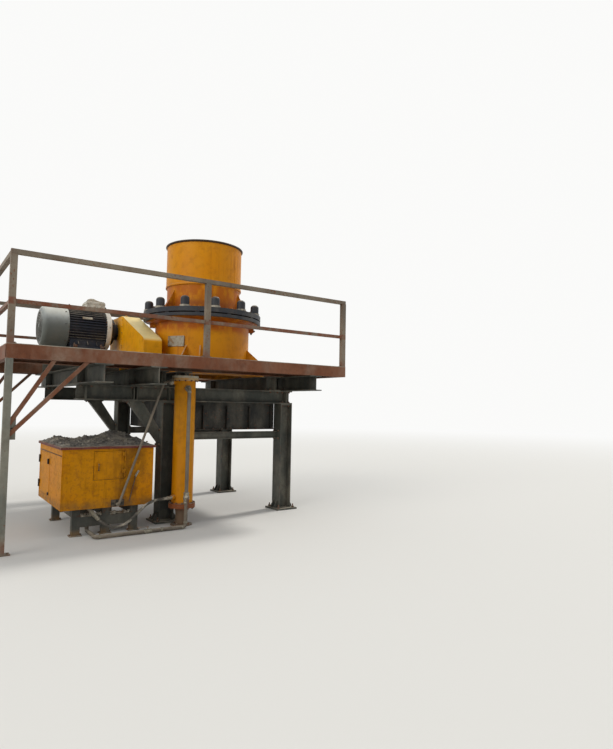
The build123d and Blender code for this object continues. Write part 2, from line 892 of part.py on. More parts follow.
with BuildPart() as motor_fan_cowl:
    with BuildSketch(along(cowl_left_x)):
        with Locations((motor_y, motor_axis_z)):
            Circle(motor_cowl_radius)
    extrude(amount=motor_cowl_length)
    fillet(motor_fan_cowl.edges().filter_by(GeomType.CIRCLE).sort_by(Axis.X)[0], motor_cowl_edge)
save(motor_fan_cowl, "motor_fan_cowl")

terminal_box_x = shield_left_x - terminal_box_setback - terminal_box_length / 2
terminal_saddle_z = motor_axis_z + motor_body_radius + motor_fin_height
with BuildPart() as terminal_box:
    with BuildSketch(level(terminal_saddle_z + fit_gap)):
        with Locations((terminal_box_x, motor_y)):
            Rectangle(terminal_box_length, terminal_box_width)
    extrude(amount=terminal_box_height)
    fillet(terminal_box.edges().group_by(Axis.Z)[-1], terminal_box_corner)
save(terminal_box, "terminal_box")

# Drive: motor pedestal, two welded bearers with the slide rails across them
rail_bottom_z = foot_z - slide_rail_height
with BuildPart() as motor_pedestal:
    with BuildSketch(along(main_beam_left_x)):
        with Locations(*((motor_y + y, (base_z + rail_bottom_z) / 2) for y in (-foot_y, foot_y))):
            ISection(rail_bottom_z - base_z, bearer_width, beam_flange, beam_web)
    extrude(amount=guard_left_x - bearer_guard_gap - main_beam_left_x)
save(motor_pedestal, "motor_pedestal")

slide_rail_places = (body_left_x + slide_rail_inset, shield_left_x - slide_rail_inset)
with BuildPart() as slide_rails:
    with BuildSketch(across(motor_y + slide_rail_length / 2)):
        with Locations(*((x, (rail_bottom_z + foot_z) / 2) for x in slide_rail_places)):
            ISection(slide_rail_height, slide_rail_width, slide_rail_flange, slide_rail_web)
    extrude(amount=slide_rail_length)
save(slide_rails, "slide_rails")

# Oil station: skid, hollow cabinet, tank inside, lid, hinged side door and front hatch
station_left_x = crusher_x - station_from_crusher
station_right_x = station_left_x + station_length
station_back_y = station_front_y + station_depth
station_mid = ((station_left_x + station_right_x) / 2, (station_front_y + station_back_y) / 2)
station_top_z = station_bottom_z + station_height
hatch_left_x = station_left_x + hatch_left_offset
hatch_right_x = hatch_left_x + hatch_width
hatch_top_z = station_top_z - hatch_drop
hatch_bottom_z = hatch_top_z - hatch_height
side_back_y = station_back_y - side_door_back_offset
side_front_y = side_back_y - side_door_width
side_bottom_z = station_bottom_z + side_door_sill
side_top_z = side_bottom_z + side_door_height
hatch_hinge_x = hatch_right_x + hinge_radius
hatch_hinge_y = station_front_y - hinge_standoff
side_hinge_x = station_left_x - hinge_standoff
side_hinge_y = side_back_y + hinge_radius
hatch_hinge_places = (hatch_bottom_z + hatch_hinge_inset, hatch_top_z - hatch_hinge_inset)
side_hinge_places = (side_bottom_z + side_hinge_inset, side_top_z - side_hinge_inset)

# Oil cooler's ports and the hose's route, which the station's fitting points along
cooler_x = crusher_x + cooler_from_crusher
port_reach = cooler_radius + cooler_port_length
inlet_z = cooler_top_z - inlet_drop
outlet_z = cooler_top_z - outlet_drop
outlet_out_x = cos(radians(outlet_angle))
outlet_out_y = sin(radians(outlet_angle))
hose_port_z = cooler_bottom_z + hose_port_rise
hose_out_x = cos(radians(hose_port_angle))
hose_out_y = sin(radians(hose_port_angle))
hose_x = cooler_x + port_reach * hose_out_x
hose_y = cooler_y + port_reach * hose_out_y
hose_route = (
    (hose_x, hose_y, hose_port_z),
    (hose_x + hose_straight * hose_out_x, hose_y + hose_straight * hose_out_y, hose_port_z),
    (hose_x - 249, hose_y - 84, hose_port_z + 3),
    (hose_x - 374, hose_y - 112, hose_port_z - 28),
    (hose_x - 484, hose_y - 122, hose_port_z - 115),
    (hose_x - 594, hose_y - 122, hose_port_z - 220),
    (hose_x - 709, hose_y - 117, hose_port_z - 293),
    (hose_x - 844, hose_y - 87, hose_port_z - 300),
    (hose_x - 949, hose_y - 27, hose_port_z - 235),
    (hose_x - 1019, hose_y + 23, hose_port_z - 145),
)
hose_tail = Plane(hose_route[-1], z_dir=Vector(*hose_route[-1]) - Vector(*hose_route[-2]))

# The skid's long beams stand on legs and carry cross bearers, on which the cabinet sits
skid_length = station_length - 2 * skid_end_inset
skid_leg_places = [station_mid[0] + step * (skid_length - skid_leg_width) / 2 for step in (-1, 0, 1)]
skid_beam_top_z = skid_leg_height + skid_beam_height
with BuildPart() as station_skid:
    for y in (station_front_y + skid_side_inset, station_back_y - skid_side_inset - skid_beam_width):
        with BuildSketch(across(y + skid_beam_width)):
            with Locations((station_mid[0], (skid_leg_height + skid_beam_top_z) / 2)):
                Rectangle(skid_length, skid_beam_height)
            with Locations(*((x, 0) for x in skid_leg_places)):
                Rectangle(skid_leg_width, skid_leg_height, align=(Align.CENTER, Align.MIN))
        extrude(amount=skid_beam_width)
    with BuildSketch(across(station_back_y - skid_side_inset)):
        with Locations(*((x, skid_beam_top_z) for x in skid_leg_places)):
            Rectangle(skid_leg_width, station_bottom_z - skid_beam_top_z, align=(Align.CENTER, Align.MIN))
    extrude(amount=station_depth - 2 * skid_side_inset)
save(station_skid, "station_skid")

with BuildPart() as station_cabinet:
    with BuildSketch(level(station_bottom_z)):
        with Locations(station_mid):
            Rectangle(station_length, station_depth)
    extrude(amount=station_height)
    with BuildSketch(hose_tail):
        Circle(hose_tail_radius)
    extrude(until=Until.NEXT)
    with BuildSketch(level(station_bottom_z + station_wall)):
        with Locations(station_mid):
            Rectangle(station_length - 2 * station_wall, station_depth - 2 * station_wall)
    extrude(amount=station_height, mode=Mode.SUBTRACT)
    with BuildSketch(across(station_front_y + 2 * station_wall)):
        with Locations(((hatch_left_x + hatch_right_x) / 2, (hatch_bottom_z + hatch_top_z) / 2)):
            Rectangle(hatch_width, hatch_height)
    extrude(amount=4 * station_wall, mode=Mode.SUBTRACT)
    with BuildSketch(along(station_left_x - 2 * station_wall)):
        with Locations(((side_front_y + side_back_y) / 2, (side_bottom_z + side_top_z) / 2)):
            Rectangle(side_door_width, side_door_height)
    extrude(amount=4 * station_wall, mode=Mode.SUBTRACT)
    for hinge_z in hatch_hinge_places:
        with BuildSketch(level(hinge_z - hinge_length)):
            with Locations((hatch_hinge_x, hatch_hinge_y)):
                Circle(hinge_radius)
            with Locations((hatch_hinge_x, (hatch_hinge_y + station_front_y) / 2)):
                Rectangle(2 * hinge_radius, hinge_standoff)
        extrude(amount=hinge_length)
        with BuildSketch(level(hinge_z)):
            with Locations((hatch_hinge_x, hatch_hinge_y)):
                Circle(hinge_pin_radius)
        extrude(amount=hinge_length)
    for hinge_z in side_hinge_places:
        with BuildSketch(level(hinge_z - hinge_length)):
            with Locations((side_hinge_x, side_hinge_y)):
                Circle(hinge_radius)
            with Locations(((side_hinge_x + station_left_x) / 2, side_hinge_y)):
                Rectangle(hinge_standoff, 2 * hinge_radius)
        extrude(amount=hinge_length)
        with BuildSketch(level(hinge_z)):
            with Locations((side_hinge_x, side_hinge_y)):
                Circle(hinge_pin_radius)
        extrude(amount=hinge_length)
save(station_cabinet, "station_cabinet")

with BuildPart() as oil_tank:
    with BuildSketch(level(station_bottom_z + station_wall)):
        with Locations(station_mid):
            Rectangle(station_length - 2 * tank_inset, station_depth - 2 * tank_inset)
    extrude(amount=tank_height)
save(oil_tank, "oil_tank")

with BuildPart() as station_lid:
    with BuildSketch(level(station_top_z)):
        with Locations(station_mid):
            Rectangle(station_length + 2 * lid_overhang, station_depth + 2 * lid_overhang)
    extrude(amount=lid_thickness)
    chamfer(station_lid.edges().group_by(Axis.Z)[-1], lid_edge)
save(station_lid, "station_lid")

hatch_tab_x = hatch_right_x - door_gap - 1.5 * hinge_radius
with BuildPart() as front_hatch:
    with BuildSketch(across(station_front_y + door_thickness)):
        with Locations(((hatch_left_x + hatch_right_x) / 2, (hatch_bottom_z + hatch_top_z) / 2)):
            Rectangle(hatch_width - 2 * door_gap, hatch_height - 2 * door_gap)
    extrude(amount=door_thickness)
    for hinge_z in hatch_hinge_places:
        with BuildSketch(level(hinge_z + hinge_clearance)):
            with Locations((hatch_hinge_x, hatch_hinge_y)):
                Circle(hinge_radius)
            with Locations((hatch_right_x - hinge_radius, hatch_hinge_y)):
                Rectangle(4 * hinge_radius, hinge_radius)
            with Locations((hatch_tab_x, (station_front_y + hatch_hinge_y) / 2)):
                Rectangle(2 * hinge_radius, hinge_standoff)
            with Locations((hatch_hinge_x, hatch_hinge_y)):
                Circle(hinge_pin_radius + hinge_clearance, mode=Mode.SUBTRACT)
        extrude(amount=hinge_length - hinge_clearance)
    with BuildSketch(across(station_front_y)):
        with Locations((hatch_left_x + handle_inset, (hatch_bottom_z + hatch_top_z) / 2 - handle_drop)):
            SlotOverall(handle_length, handle_width, rotation=90)
    extrude(amount=handle_depth)
save(front_hatch, "front_hatch")

side_tab_y = side_back_y - door_gap - 1.5 * hinge_radius
with BuildPart() as side_door:
    with BuildSketch(along(station_left_x)):
        with Locations(((side_front_y + side_back_y) / 2, (side_bottom_z + side_top_z) / 2)):
            Rectangle(side_door_width - 2 * door_gap, side_door_height - 2 * door_gap)
    extrude(amount=door_thickness)
    for hinge_z in side_hinge_places:
        with BuildSketch(level(hinge_z + hinge_clearance)):
            with Locations((side_hinge_x, side_hinge_y)):
                Circle(hinge_radius)
            with Locations((side_hinge_x, side_back_y - hinge_radius)):
                Rectangle(hinge_radius, 4 * hinge_radius)
            with Locations(((station_left_x + side_hinge_x) / 2, side_tab_y)):
                Rectangle(hinge_standoff, 2 * hinge_radius)
            with Locations((side_hinge_x, side_hinge_y)):
                Circle(hinge_pin_radius + hinge_clearance, mode=Mode.SUBTRACT)
        extrude(amount=hinge_length - hinge_clearance)
    with BuildSketch(along(station_left_x - lock_depth)):
        with Locations((side_front_y + lock_inset, side_top_z - lock_drop)):
            Rectangle(lock_width, lock_height)
    extrude(amount=lock_depth)
save(side_door, "side_door")

# Oil cooler: a flanged upright tube on a neck, with its ports
low_flange_bottom_z = cooler_bottom_z - cooler_flange_thickness
with BuildPart() as oil_cooler:
    with BuildSketch(level(0)):
        with Locations((cooler_x, cooler_y)):
            Circle(cooler_foot_radius)
    extrude(amount=cooler_foot_thickness)
    with BuildSketch(level(cooler_foot_thickness)):
        with Locations((cooler_x, cooler_y)):
            Circle(cooler_neck_radius)
    extrude(amount=low_flange_bottom_z - cooler_foot_thickness)
    with BuildSketch(level(low_flange_bottom_z)):
        with Locations((cooler_x, cooler_y)):
            Circle(cooler_flange_radius)
    extrude(amount=cooler_flange_thickness)
    with BuildSketch(level(cooler_bottom_z)):
        with Locations((cooler_x, cooler_y)):
            Circle(cooler_radius)
    extrude(amount=cooler_top_z - cooler_bottom_z)
    with BuildSketch(level(cooler_top_z - cooler_flange_thickness / 2)):
        with Locations((cooler_x, cooler_y)):
            Circle(cooler_flange_radius)
    extrude(amount=cooler_flange_thickness / 2)
    with BuildSketch(along(cooler_x - port_reach)):
        with Locations((cooler_y, inlet_z)):
            Circle(cooler_port_radius)
    extrude(amount=port_reach)
    with BuildSketch(Plane((cooler_x, cooler_y, hose_port_z), z_dir=(hose_out_x, hose_out_y, 0))):
        Circle(cooler_port_radius)
    extrude(amount=port_reach)
    with BuildSketch(Plane((cooler_x, cooler_y, outlet_z), z_dir=(outlet_out_x, outlet_out_y, 0))):
        Circle(cooler_port_radius)
    extrude(amount=port_reach)
save(oil_cooler, "oil_cooler")

with BuildPart() as cooler_cap:
    with BuildSketch(level(cooler_top_z)):
        with Locations((cooler_x, cooler_y)):
            Circle(cooler_flange_radius)
    extrude(amount=cooler_cap_thickness)
save(cooler_cap, "cooler_cap")

# Pipes: swept tubes with rounded corners
def sweep_pipe(points, radius, bend):
    """Adds a round pipe along straight runs, with a bend at each corner."""
    with BuildLine() as path:
        FilletPolyline(*points, radius=bend)
    with BuildSketch(Plane(path.line @ 0, z_dir=path.line % 0)) as section:
        Circle(radius)
    sweep(sections=section.sketch, path=path.line)


port_x = cooler_x - port_reach
return_y = cooler_y - cooler_flange_radius - pipe_clearance - pipe_radius - pipe_bend
return_x = cooler_x + (return_y - cooler_y) * outlet_out_x / outlet_out_y
station_pipe_y = station_front_y - lid_overhang - pipe_clearance - feed_pipe_radius
pipe_floor_z = pipe_radius + pipe_floor_gap
return_end_x = station_left_x + return_inlet_offset
return_end_y = station_front_y + return_inlet_depth
feed_end_x = station_right_x - feed_inlet_offset
feed_end_z = station_bottom_z + feed_inlet_rise
return_route = (
    (cooler_x + port_reach * outlet_out_x, cooler_y + port_reach * outlet_out_y, outlet_z),
    (return_x, return_y, outlet_z),
    (return_x, return_y, pipe_floor_z),
    (return_end_x, return_y, pipe_floor_z),
    (return_end_x, return_end_y, pipe_floor_z),
    (return_end_x, return_end_y, station_bottom_z),
)
feed_route = (
    (port_x, cooler_y, inlet_z),
    (port_x - pipe_bend, cooler_y, inlet_z),
    (port_x - feed_elbow_reach, station_pipe_y, inlet_z - feed_elbow_drop),
    (feed_end_x, station_pipe_y, feed_end_z),
    (feed_end_x, station_front_y, feed_end_z),
)
with BuildPart() as cooler_pipes:
    sweep_pipe(return_route, pipe_radius, return_bend_radius)
    sweep_pipe(feed_route, feed_pipe_radius, feed_bend_radius)
save(cooler_pipes, "cooler_pipes")


def hose_bends(route):
    """The radius at each corner of the hose, as large as its two runs allow."""
    stops = [Vector(*point) for point in route]
    runs = [b - a for a, b in zip(stops, stops[1:])]
    half_turns = [radians(a.get_angle(b) / 2) for a, b in zip(runs, runs[1:])]
    shorter = [min(a.length, b.length) for a, b in zip(runs, runs[1:])]
    return [hose_bend_share * length / tan(half) for length, half in zip(shorter, half_turns)]


hose_radii = hose_bends(hose_route)
with BuildPart() as oil_hose:
    sweep_pipe(hose_route, hose_radius, hose_radii)
save(oil_hose, "oil_hose")
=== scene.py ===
import math
import random

import bmesh
import bpy
from mathutils import Matrix, Vector


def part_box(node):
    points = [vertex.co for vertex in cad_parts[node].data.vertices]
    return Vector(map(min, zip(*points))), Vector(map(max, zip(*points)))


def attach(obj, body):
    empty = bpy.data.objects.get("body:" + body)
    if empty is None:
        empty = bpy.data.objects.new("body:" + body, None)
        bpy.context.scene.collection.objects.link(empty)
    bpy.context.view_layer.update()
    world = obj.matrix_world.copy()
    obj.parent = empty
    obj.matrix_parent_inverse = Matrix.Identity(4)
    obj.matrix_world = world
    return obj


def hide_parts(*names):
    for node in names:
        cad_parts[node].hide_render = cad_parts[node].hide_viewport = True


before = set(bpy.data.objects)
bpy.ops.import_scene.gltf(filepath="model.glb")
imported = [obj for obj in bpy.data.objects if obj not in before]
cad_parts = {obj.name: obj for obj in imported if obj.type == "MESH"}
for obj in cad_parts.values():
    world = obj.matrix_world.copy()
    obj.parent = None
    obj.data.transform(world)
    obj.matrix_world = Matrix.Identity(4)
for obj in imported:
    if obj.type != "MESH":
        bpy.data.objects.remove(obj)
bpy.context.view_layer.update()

# The viewpoint is 1.7 m over the ground, off the left end of the platform.
# Its place, turn and lens come from the platform's own straight lines in the picture.
picture_height, focal_pixels, film_size = 749, 556, 36.0
eye = Vector((-3.29, -8.925, 1.70))
turn, tilt, roll = (math.radians(angle) for angle in (-35.5, 3.28, 1.02))
camera = bpy.data.objects.new("viewpoint", bpy.data.cameras.new("viewpoint"))
camera.data.sensor_width = film_size
camera.data.lens = film_size * focal_pixels / picture_height
camera.data.clip_end = 200.0
camera.matrix_world = (
    Matrix.Translation(eye)
    @ Matrix.Rotation(turn, 4, "Z")
    @ Matrix.Rotation(math.pi / 2 + tilt, 4, "X")
    @ Matrix.Rotation(roll, 4, "Z")
)
bpy.context.scene.collection.objects.link(camera)
bpy.context.scene.camera = camera

# Soft light from high on the right and behind, as the day's sun stands in the picture,
# with an even sky of light all round and a white background.
scene = bpy.context.scene
scene.view_settings.view_transform = "Standard"
white = (0.96, 0.96, 0.95, 1)
world = bpy.data.worlds.new("studio")
world.use_nodes = True
scene.world = world
sky = world.node_tree
sky_light, sky_white = sky.nodes["Background"], sky.nodes.new("ShaderNodeBackground")
for glow, colour, strength in ((sky_light, (0.94, 0.97, 1.0, 1), 0.62), (sky_white, white, 1.0)):
    glow.inputs["Color"].default_value = colour
    glow.inputs["Strength"].default_value = strength
ray, sky_mix = sky.nodes.new("ShaderNodeLightPath"), sky.nodes.new("ShaderNodeMixShader")
seen, seen_all = sky.nodes.new("ShaderNodeMath"), sky.nodes.new("ShaderNodeMath")
seen.operation = seen_all.operation = "MAXIMUM"
for outlet, inlet in (
    (ray.outputs["Is Camera Ray"], seen.inputs[0]),
    (ray.outputs["Is Glossy Ray"], seen.inputs[1]),
    (seen.outputs[0], seen_all.inputs[0]),
    (ray.outputs["Is Transmission Ray"], seen_all.inputs[1]),
    (seen_all.outputs[0], sky_mix.inputs["Fac"]),
    (sky_light.outputs[0], sky_mix.inputs[1]),
    (sky_white.outputs[0], sky_mix.inputs[2]),
    (sky_mix.outputs[0], sky.nodes["World Output"].inputs["Surface"]),
):
    sky.links.new(outlet, inlet)

for lamp_name, lamp_from, strength, softness in (
    ("key_light", (7.0, 1.5, 8.0), 1.75, 9.0),
    ("fill_light", (-8.0, -2.0, 4.0), 1.15, 40.0),
):
    lamp = bpy.data.lights.new(lamp_name, "SUN")
    lamp.energy = strength
    lamp.angle = math.radians(softness)
    lamp.color = (1.0, 0.97, 0.92)
    lamp_piece = bpy.data.objects.new(lamp_name, lamp)
    lamp_piece.matrix_world = Vector(lamp_from).to_track_quat("Z", "Y").to_matrix().to_4x4()
    scene.collection.objects.link(lamp_piece)


# The floor is a plain pale disc, a millimetre under the object's feet, that fades into the white
# background far out. Only the camera sees it fade, so it throws back the same light everywhere.
def finished_mesh(shape, name):
    """Turns a finished shape into mesh data."""
    data = bpy.data.meshes.new(name)
    shape.to_mesh(data)
    shape.free()
    return data


floor_reach, fade_start, fade_end = 45.0, 8.0, 38.0
floor_shape = bmesh.new()
bmesh.ops.create_circle(floor_shape, cap_ends=True, segments=96, radius=floor_reach)
bmesh.ops.translate(floor_shape, vec=(0, 0, -0.001), verts=floor_shape.verts)
floor = bpy.data.objects.new("floor", finished_mesh(floor_shape, "floor"))
scene.collection.objects.link(floor)
floor_finish = bpy.data.materials.new("pale_floor")
floor_finish.use_nodes = True
floor_tree = floor_finish.node_tree
floor_paint = floor_tree.nodes["Principled BSDF"]
floor_paint.inputs["Base Color"].default_value = (0.66, 0.65, 0.62, 1)
floor_paint.inputs["Roughness"].default_value = 0.9
floor_far, floor_spot, floor_distance, floor_fade, floor_ray, floor_share, floor_mix = (
    floor_tree.nodes.new("ShaderNode" + kind)
    for kind in ("Emission", "TexCoord", "VectorMath", "MapRange", "LightPath", "Math", "MixShader")
)
floor_far.inputs["Color"].default_value = white
floor_distance.operation = "LENGTH"
floor_share.operation = "MULTIPLY"
floor_fade.interpolation_type = "SMOOTHSTEP"
floor_fade.inputs["From Min"].default_value = fade_start
floor_fade.inputs["From Max"].default_value = fade_end
for outlet, inlet in (
    (floor_spot.outputs["Object"], floor_distance.inputs[0]),
    (floor_distance.outputs["Value"], floor_fade.inputs["Value"]),
    (floor_fade.outputs["Result"], floor_share.inputs[0]),
    (floor_ray.outputs["Is Camera Ray"], floor_share.inputs[1]),
    (floor_share.outputs[0], floor_mix.inputs["Fac"]),
    (floor_paint.outputs[0], floor_mix.inputs[1]),
    (floor_far.outputs[0], floor_mix.inputs[2]),
    (floor_mix.outputs[0], floor_tree.nodes["Material Output"].inputs["Surface"]),
):
    floor_tree.links.new(outlet, inlet)
floor.data.materials.append(floor_finish)


# Oil hose: a rubber pressure hose with a woven cover, grey with dust. It leaves the cooler's lower
# port, lies before the cabinet in a low swag and goes up to a fitting under the cabinet's floor.
# Both ends are crimped into steel ferrules with a swivel nut.
def feed(tree, socket, value):
    """Gives a socket a number, a colour as a colour card gives it, 0 to 255, or a node's output."""
    if isinstance(value, bpy.types.NodeSocket):
        tree.links.new(value, socket)
    elif isinstance(value, tuple):
        shares = (channel / 255 for channel in value)
        linear = [((share + 0.055) / 1.055) ** 2.4 if share > 0.04 else share / 12.92 for share in shares]
        socket.default_value = (*linear, 1.0)
    else:
        socket.default_value = value


def reckon(tree, operation, first, second=0.0):
    """One step of arithmetic on two shares, kept between 0 and 1."""
    step = tree.nodes.new("ShaderNodeMath")
    step.operation = operation
    step.use_clamp = True
    feed(tree, step.inputs[0], first)
    feed(tree, step.inputs[1], second)
    return step.outputs[0]


def times(tree, first, second):
    """The product of two shares."""
    return reckon(tree, "MULTIPLY", first, second)


def spread(tree, value, low, high, start=0.0, end=1.0):
    """Stretches a value that lies between low and high over start to end, with soft ends."""
    span = tree.nodes.new("ShaderNodeMapRange")
    span.interpolation_type = "SMOOTHSTEP"
    for name, number in (("From Min", low), ("From Max", high), ("To Min", start), ("To Max", end)):
        span.inputs[name].default_value = number
    feed(tree, span.inputs["Value"], value)
    return span.outputs["Result"]


def patches(tree, size, low, high, shift=0.0, detail=5.0, stretch=(1, 1, 1)):
    """Cloudy patches about size metres across, as a share between 0 and 1."""
    spot = tree.nodes.new("ShaderNodeTexCoord")
    mapping = tree.nodes.new("ShaderNodeMapping")
    mapping.inputs["Location"].default_value = (shift, 1.7 * shift, 0.6 * shift)
    mapping.inputs["Scale"].default_value = [share / size for share in stretch]
    cloud = tree.nodes.new("ShaderNodeTexNoise")
    cloud.inputs["Scale"].default_value = 1.0
    cloud.inputs["Detail"].default_value = detail
    cloud.inputs["Roughness"].default_value = 0.62
    tree.links.new(spot.outputs["Object"], mapping.inputs["Vector"])
    tree.links.new(mapping.outputs["Vector"], cloud.inputs["Vector"])
    return spread(tree, cloud.outputs["Fac"], low, high)


def mixed(tree, share, under, over):
    """One colour laid over another by a share."""
    mix = tree.nodes.new("ShaderNodeMix")
    mix.data_type = "RGBA"
    feed(tree, mix.inputs["Factor"], share)
    feed(tree, mix.inputs[6], under)
    feed(tree, mix.inputs[7], over)
    return mix.outputs[2]


def dented(tree, shader, height, depth, under=None):
    """Lifts the surface by a share of depth, in metres, over what another bump already does."""
    bump = tree.nodes.new("ShaderNodeBump")
    bump.inputs["Strength"].default_value = 1.0
    bump.inputs["Distance"].default_value = depth
    feed(tree, bump.inputs["Height"], height)
    if under is not None:
        tree.links.new(under, bump.inputs["Normal"])
    tree.links.new(bump.outputs["Normal"], shader.inputs["Normal"])
    return bump.outputs["Normal"]


def new_finish(name, roughness, metal=0.0):
    """A bare finish, its node tree and its shader."""
    finish = bpy.data.materials.new(name)
    finish.use_nodes = True
    shader = finish.node_tree.nodes["Principled BSDF"]
    shader.inputs["Roughness"].default_value = roughness
    shader.inputs["Metallic"].default_value = metal
    return finish, finish.node_tree, shader


quarry_dust = (176, 168, 152)
hose_finish, hose_tree, hose_shader = new_finish("hose_rubber", 0.8)
hose_cover = mixed(hose_tree, patches(hose_tree, 0.05, 0.3, 0.7), (60, 57, 52), (82, 77, 69))
hose_cover = mixed(hose_tree, patches(hose_tree, 0.16, 0.47, 0.68, 4), hose_cover, quarry_dust)
feed(hose_tree, hose_shader.inputs["Base Color"], hose_cover)
hose_weave = hose_tree.nodes.new("ShaderNodeTexVoronoi")
hose_weave.inputs["Scale"].default_value = 420.0
hose_spot = hose_tree.nodes.new("ShaderNodeTexCoord")
hose_tree.links.new(hose_spot.outputs["Object"], hose_weave.inputs["Vector"])
dented(hose_tree, hose_shader, hose_weave.outputs["Distance"], 0.0012)

hose_radius = 0.018
hose_route = [
    (-0.2561, -1.4877, 0.400),
    (-0.3782, -1.5322, 0.400),
    (-0.5051, -1.5717, 0.403),
    (-0.6301, -1.5997, 0.372),
    (-0.7401, -1.6097, 0.285),
    (-0.8501, -1.6097, 0.180),
    (-0.9651, -1.6047, 0.107),
    (-1.1001, -1.5747, 0.100),
    (-1.2051, -1.5147, 0.165),
    (-1.2751, -1.4647, 0.255),
]
hose_line = bpy.data.curves.new("oil_hose_line", "CURVE")
hose_line.dimensions = "3D"
hose_line.bevel_depth = hose_radius
hose_line.bevel_resolution = 5
hose_line.resolution_u = 10
hose_line.use_fill_caps = True
hose_spline = hose_line.splines.new("NURBS")
hose_spline.points.add(len(hose_route) - 1)
for spline_point, route_point in zip(hose_spline.points, hose_route):
    spline_point.co = (*route_point, 1.0)
hose_spline.order_u = 3
hose_spline.use_endpoint_u = True
hose_line.materials.append(hose_finish)
hose = bpy.data.objects.new("oil_hose_rubber", hose_line)
scene.collection.objects.link(hose)
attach(hose, "plant")
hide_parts("oil_hose")


def add_turned(shape, outline, foot, direction, sides=40):
    """A turned piece: its outline, as (radius, height) pairs, spun about an axis that starts at foot."""
    turned = bmesh.new()
    points = [turned.verts.new((radius, 0, height)) for radius, height in outline]
    edges = [turned.edges.new(pair) for pair in zip(points, points[1:])]
    bmesh.ops.spin(
        turned, geom=points + edges, cent=(0, 0, 0), axis=(0, 0, 1), angle=2 * math.pi, steps=sides,
        use_merge=True,
    )
    bmesh.ops.remove_doubles(turned, verts=turned.verts, dist=1e-6)
    place = Matrix.Translation(foot) @ Vector(direction).to_track_quat("Z", "Y").to_matrix().to_4x4()
    bmesh.ops.transform(turned, matrix=place, verts=turned.verts)
    bmesh.ops.recalc_face_normals(turned, faces=turned.faces)
    pattern = finished_mesh(turned, "turned")
    shape.from_mesh(pattern)
    bpy.data.meshes.remove(pattern)


def fit_piece(shape, name, finish, body="plant", soft_edge=38):
    """Turns a finished shape into a piece of the object that rides on a body."""
    bmesh.ops.recalc_face_normals(shape, faces=shape.faces)
    data = finished_mesh(shape, name)
    data.shade_smooth()
    data.set_sharp_from_angle(angle=math.radians(soft_edge))
    data.materials.append(finish)
    piece = bpy.data.objects.new(name, data)
    scene.collection.objects.link(piece)
    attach(piece, body)
    return piece


def clouded_finish(name, roughness, metal, base, layers, sheen=None, dents=None):
    """A finish made of cloudy layers over a base colour.

    Each layer is its patches, its colour and, if it lies only on what faces up, the word top.
    Sheen is patches and the roughness from their gaps to their middles, dents are patches and a depth.
    """
    finish, tree, shader = new_finish(name, roughness, metal)
    for patch, colour, *where in layers:
        share = patches(tree, *patch)
        base = mixed(tree, times(tree, facing_up(tree), share) if where else share, base, colour)
    feed(tree, shader.inputs["Base Color"], base)
    if sheen:
        patch, least, most = sheen
        feed(tree, shader.inputs["Roughness"], spread(tree, patches(tree, *patch), 0, 1, least, most))
    if dents:
        patch, depth = dents
        dented(tree, shader, patches(tree, *patch), depth)
    return finish


steel_finish = clouded_finish(
    "plated_fittings", 0.45, 0.6, (150, 144, 128),
    [((0.02, 0.35, 0.65), (112, 106, 94)), ((0.05, 0.5, 0.64, 5), quarry_dust)],
    sheen=((0.03, 0.3, 0.7), 0.4, 0.75),
)

ferrule_outline = [
    (0.0, -0.012), (0.024, -0.012), (0.029, -0.008), (0.029, 0.016), (0.022, 0.018), (0.022, 0.022),
    (0.0255, 0.024), (0.0255, 0.040), (0.0245, 0.042), (0.0255, 0.044), (0.0255, 0.058), (0.0245, 0.060),
    (0.0255, 0.062), (0.0255, 0.078), (0.0205, 0.084), (0.0184, 0.084), (0.0184, 0.070), (0.0, 0.070),
]
hose_ends = bmesh.new()
for end_point, next_point in ((hose_route[0], hose_route[1]), (hose_route[-1], hose_route[-2])):
    add_turned(hose_ends, ferrule_outline, end_point, Vector(next_point) - Vector(end_point), sides=24)
hose_ferrules = fit_piece(hose_ends, "hose_ferrules", steel_finish)


# Stand: four rolled-steel columns on anchored base plates carry two main beams and six cross beams,
# all bolted and welded, in a dark grey-green paint under quarry dust, with rust at edges and feet.
# Stiffener plates are welded into the beams over the columns.
def nearness(tree, reach, inside, low, high):
    """How much of its own piece lies near a spot: outside it, in a hollow, or inside, at an outer edge."""
    probe = tree.nodes.new("ShaderNodeAmbientOcclusion")
    probe.samples = 4
    probe.inside = inside
    probe.only_local = True
    probe.inputs["Distance"].default_value = reach
    return spread(tree, probe.outputs["AO"], low, high, 1.0, 0.0)


def facing_up(tree, low=0.35, high=0.9):
    """How much a spot faces the sky."""
    way = tree.nodes.new("ShaderNodeNewGeometry")
    parts = tree.nodes.new("ShaderNodeSeparateXYZ")
    tree.links.new(way.outputs["Normal"], parts.inputs[0])
    return spread(tree, parts.outputs["Z"], low, high)


def band(tree, axis, low, high, soft):
    """How much a spot lies between two places along an axis, with soft borders."""
    spot = tree.nodes.new("ShaderNodeTexCoord")
    parts = tree.nodes.new("ShaderNodeSeparateXYZ")
    tree.links.new(spot.outputs["Object"], parts.inputs[0])
    above = spread(tree, parts.outputs[axis], low - soft, low + soft)
    below = spread(tree, parts.outputs[axis], high - soft, high + soft, 1.0, 0.0)
    return times(tree, above, below)


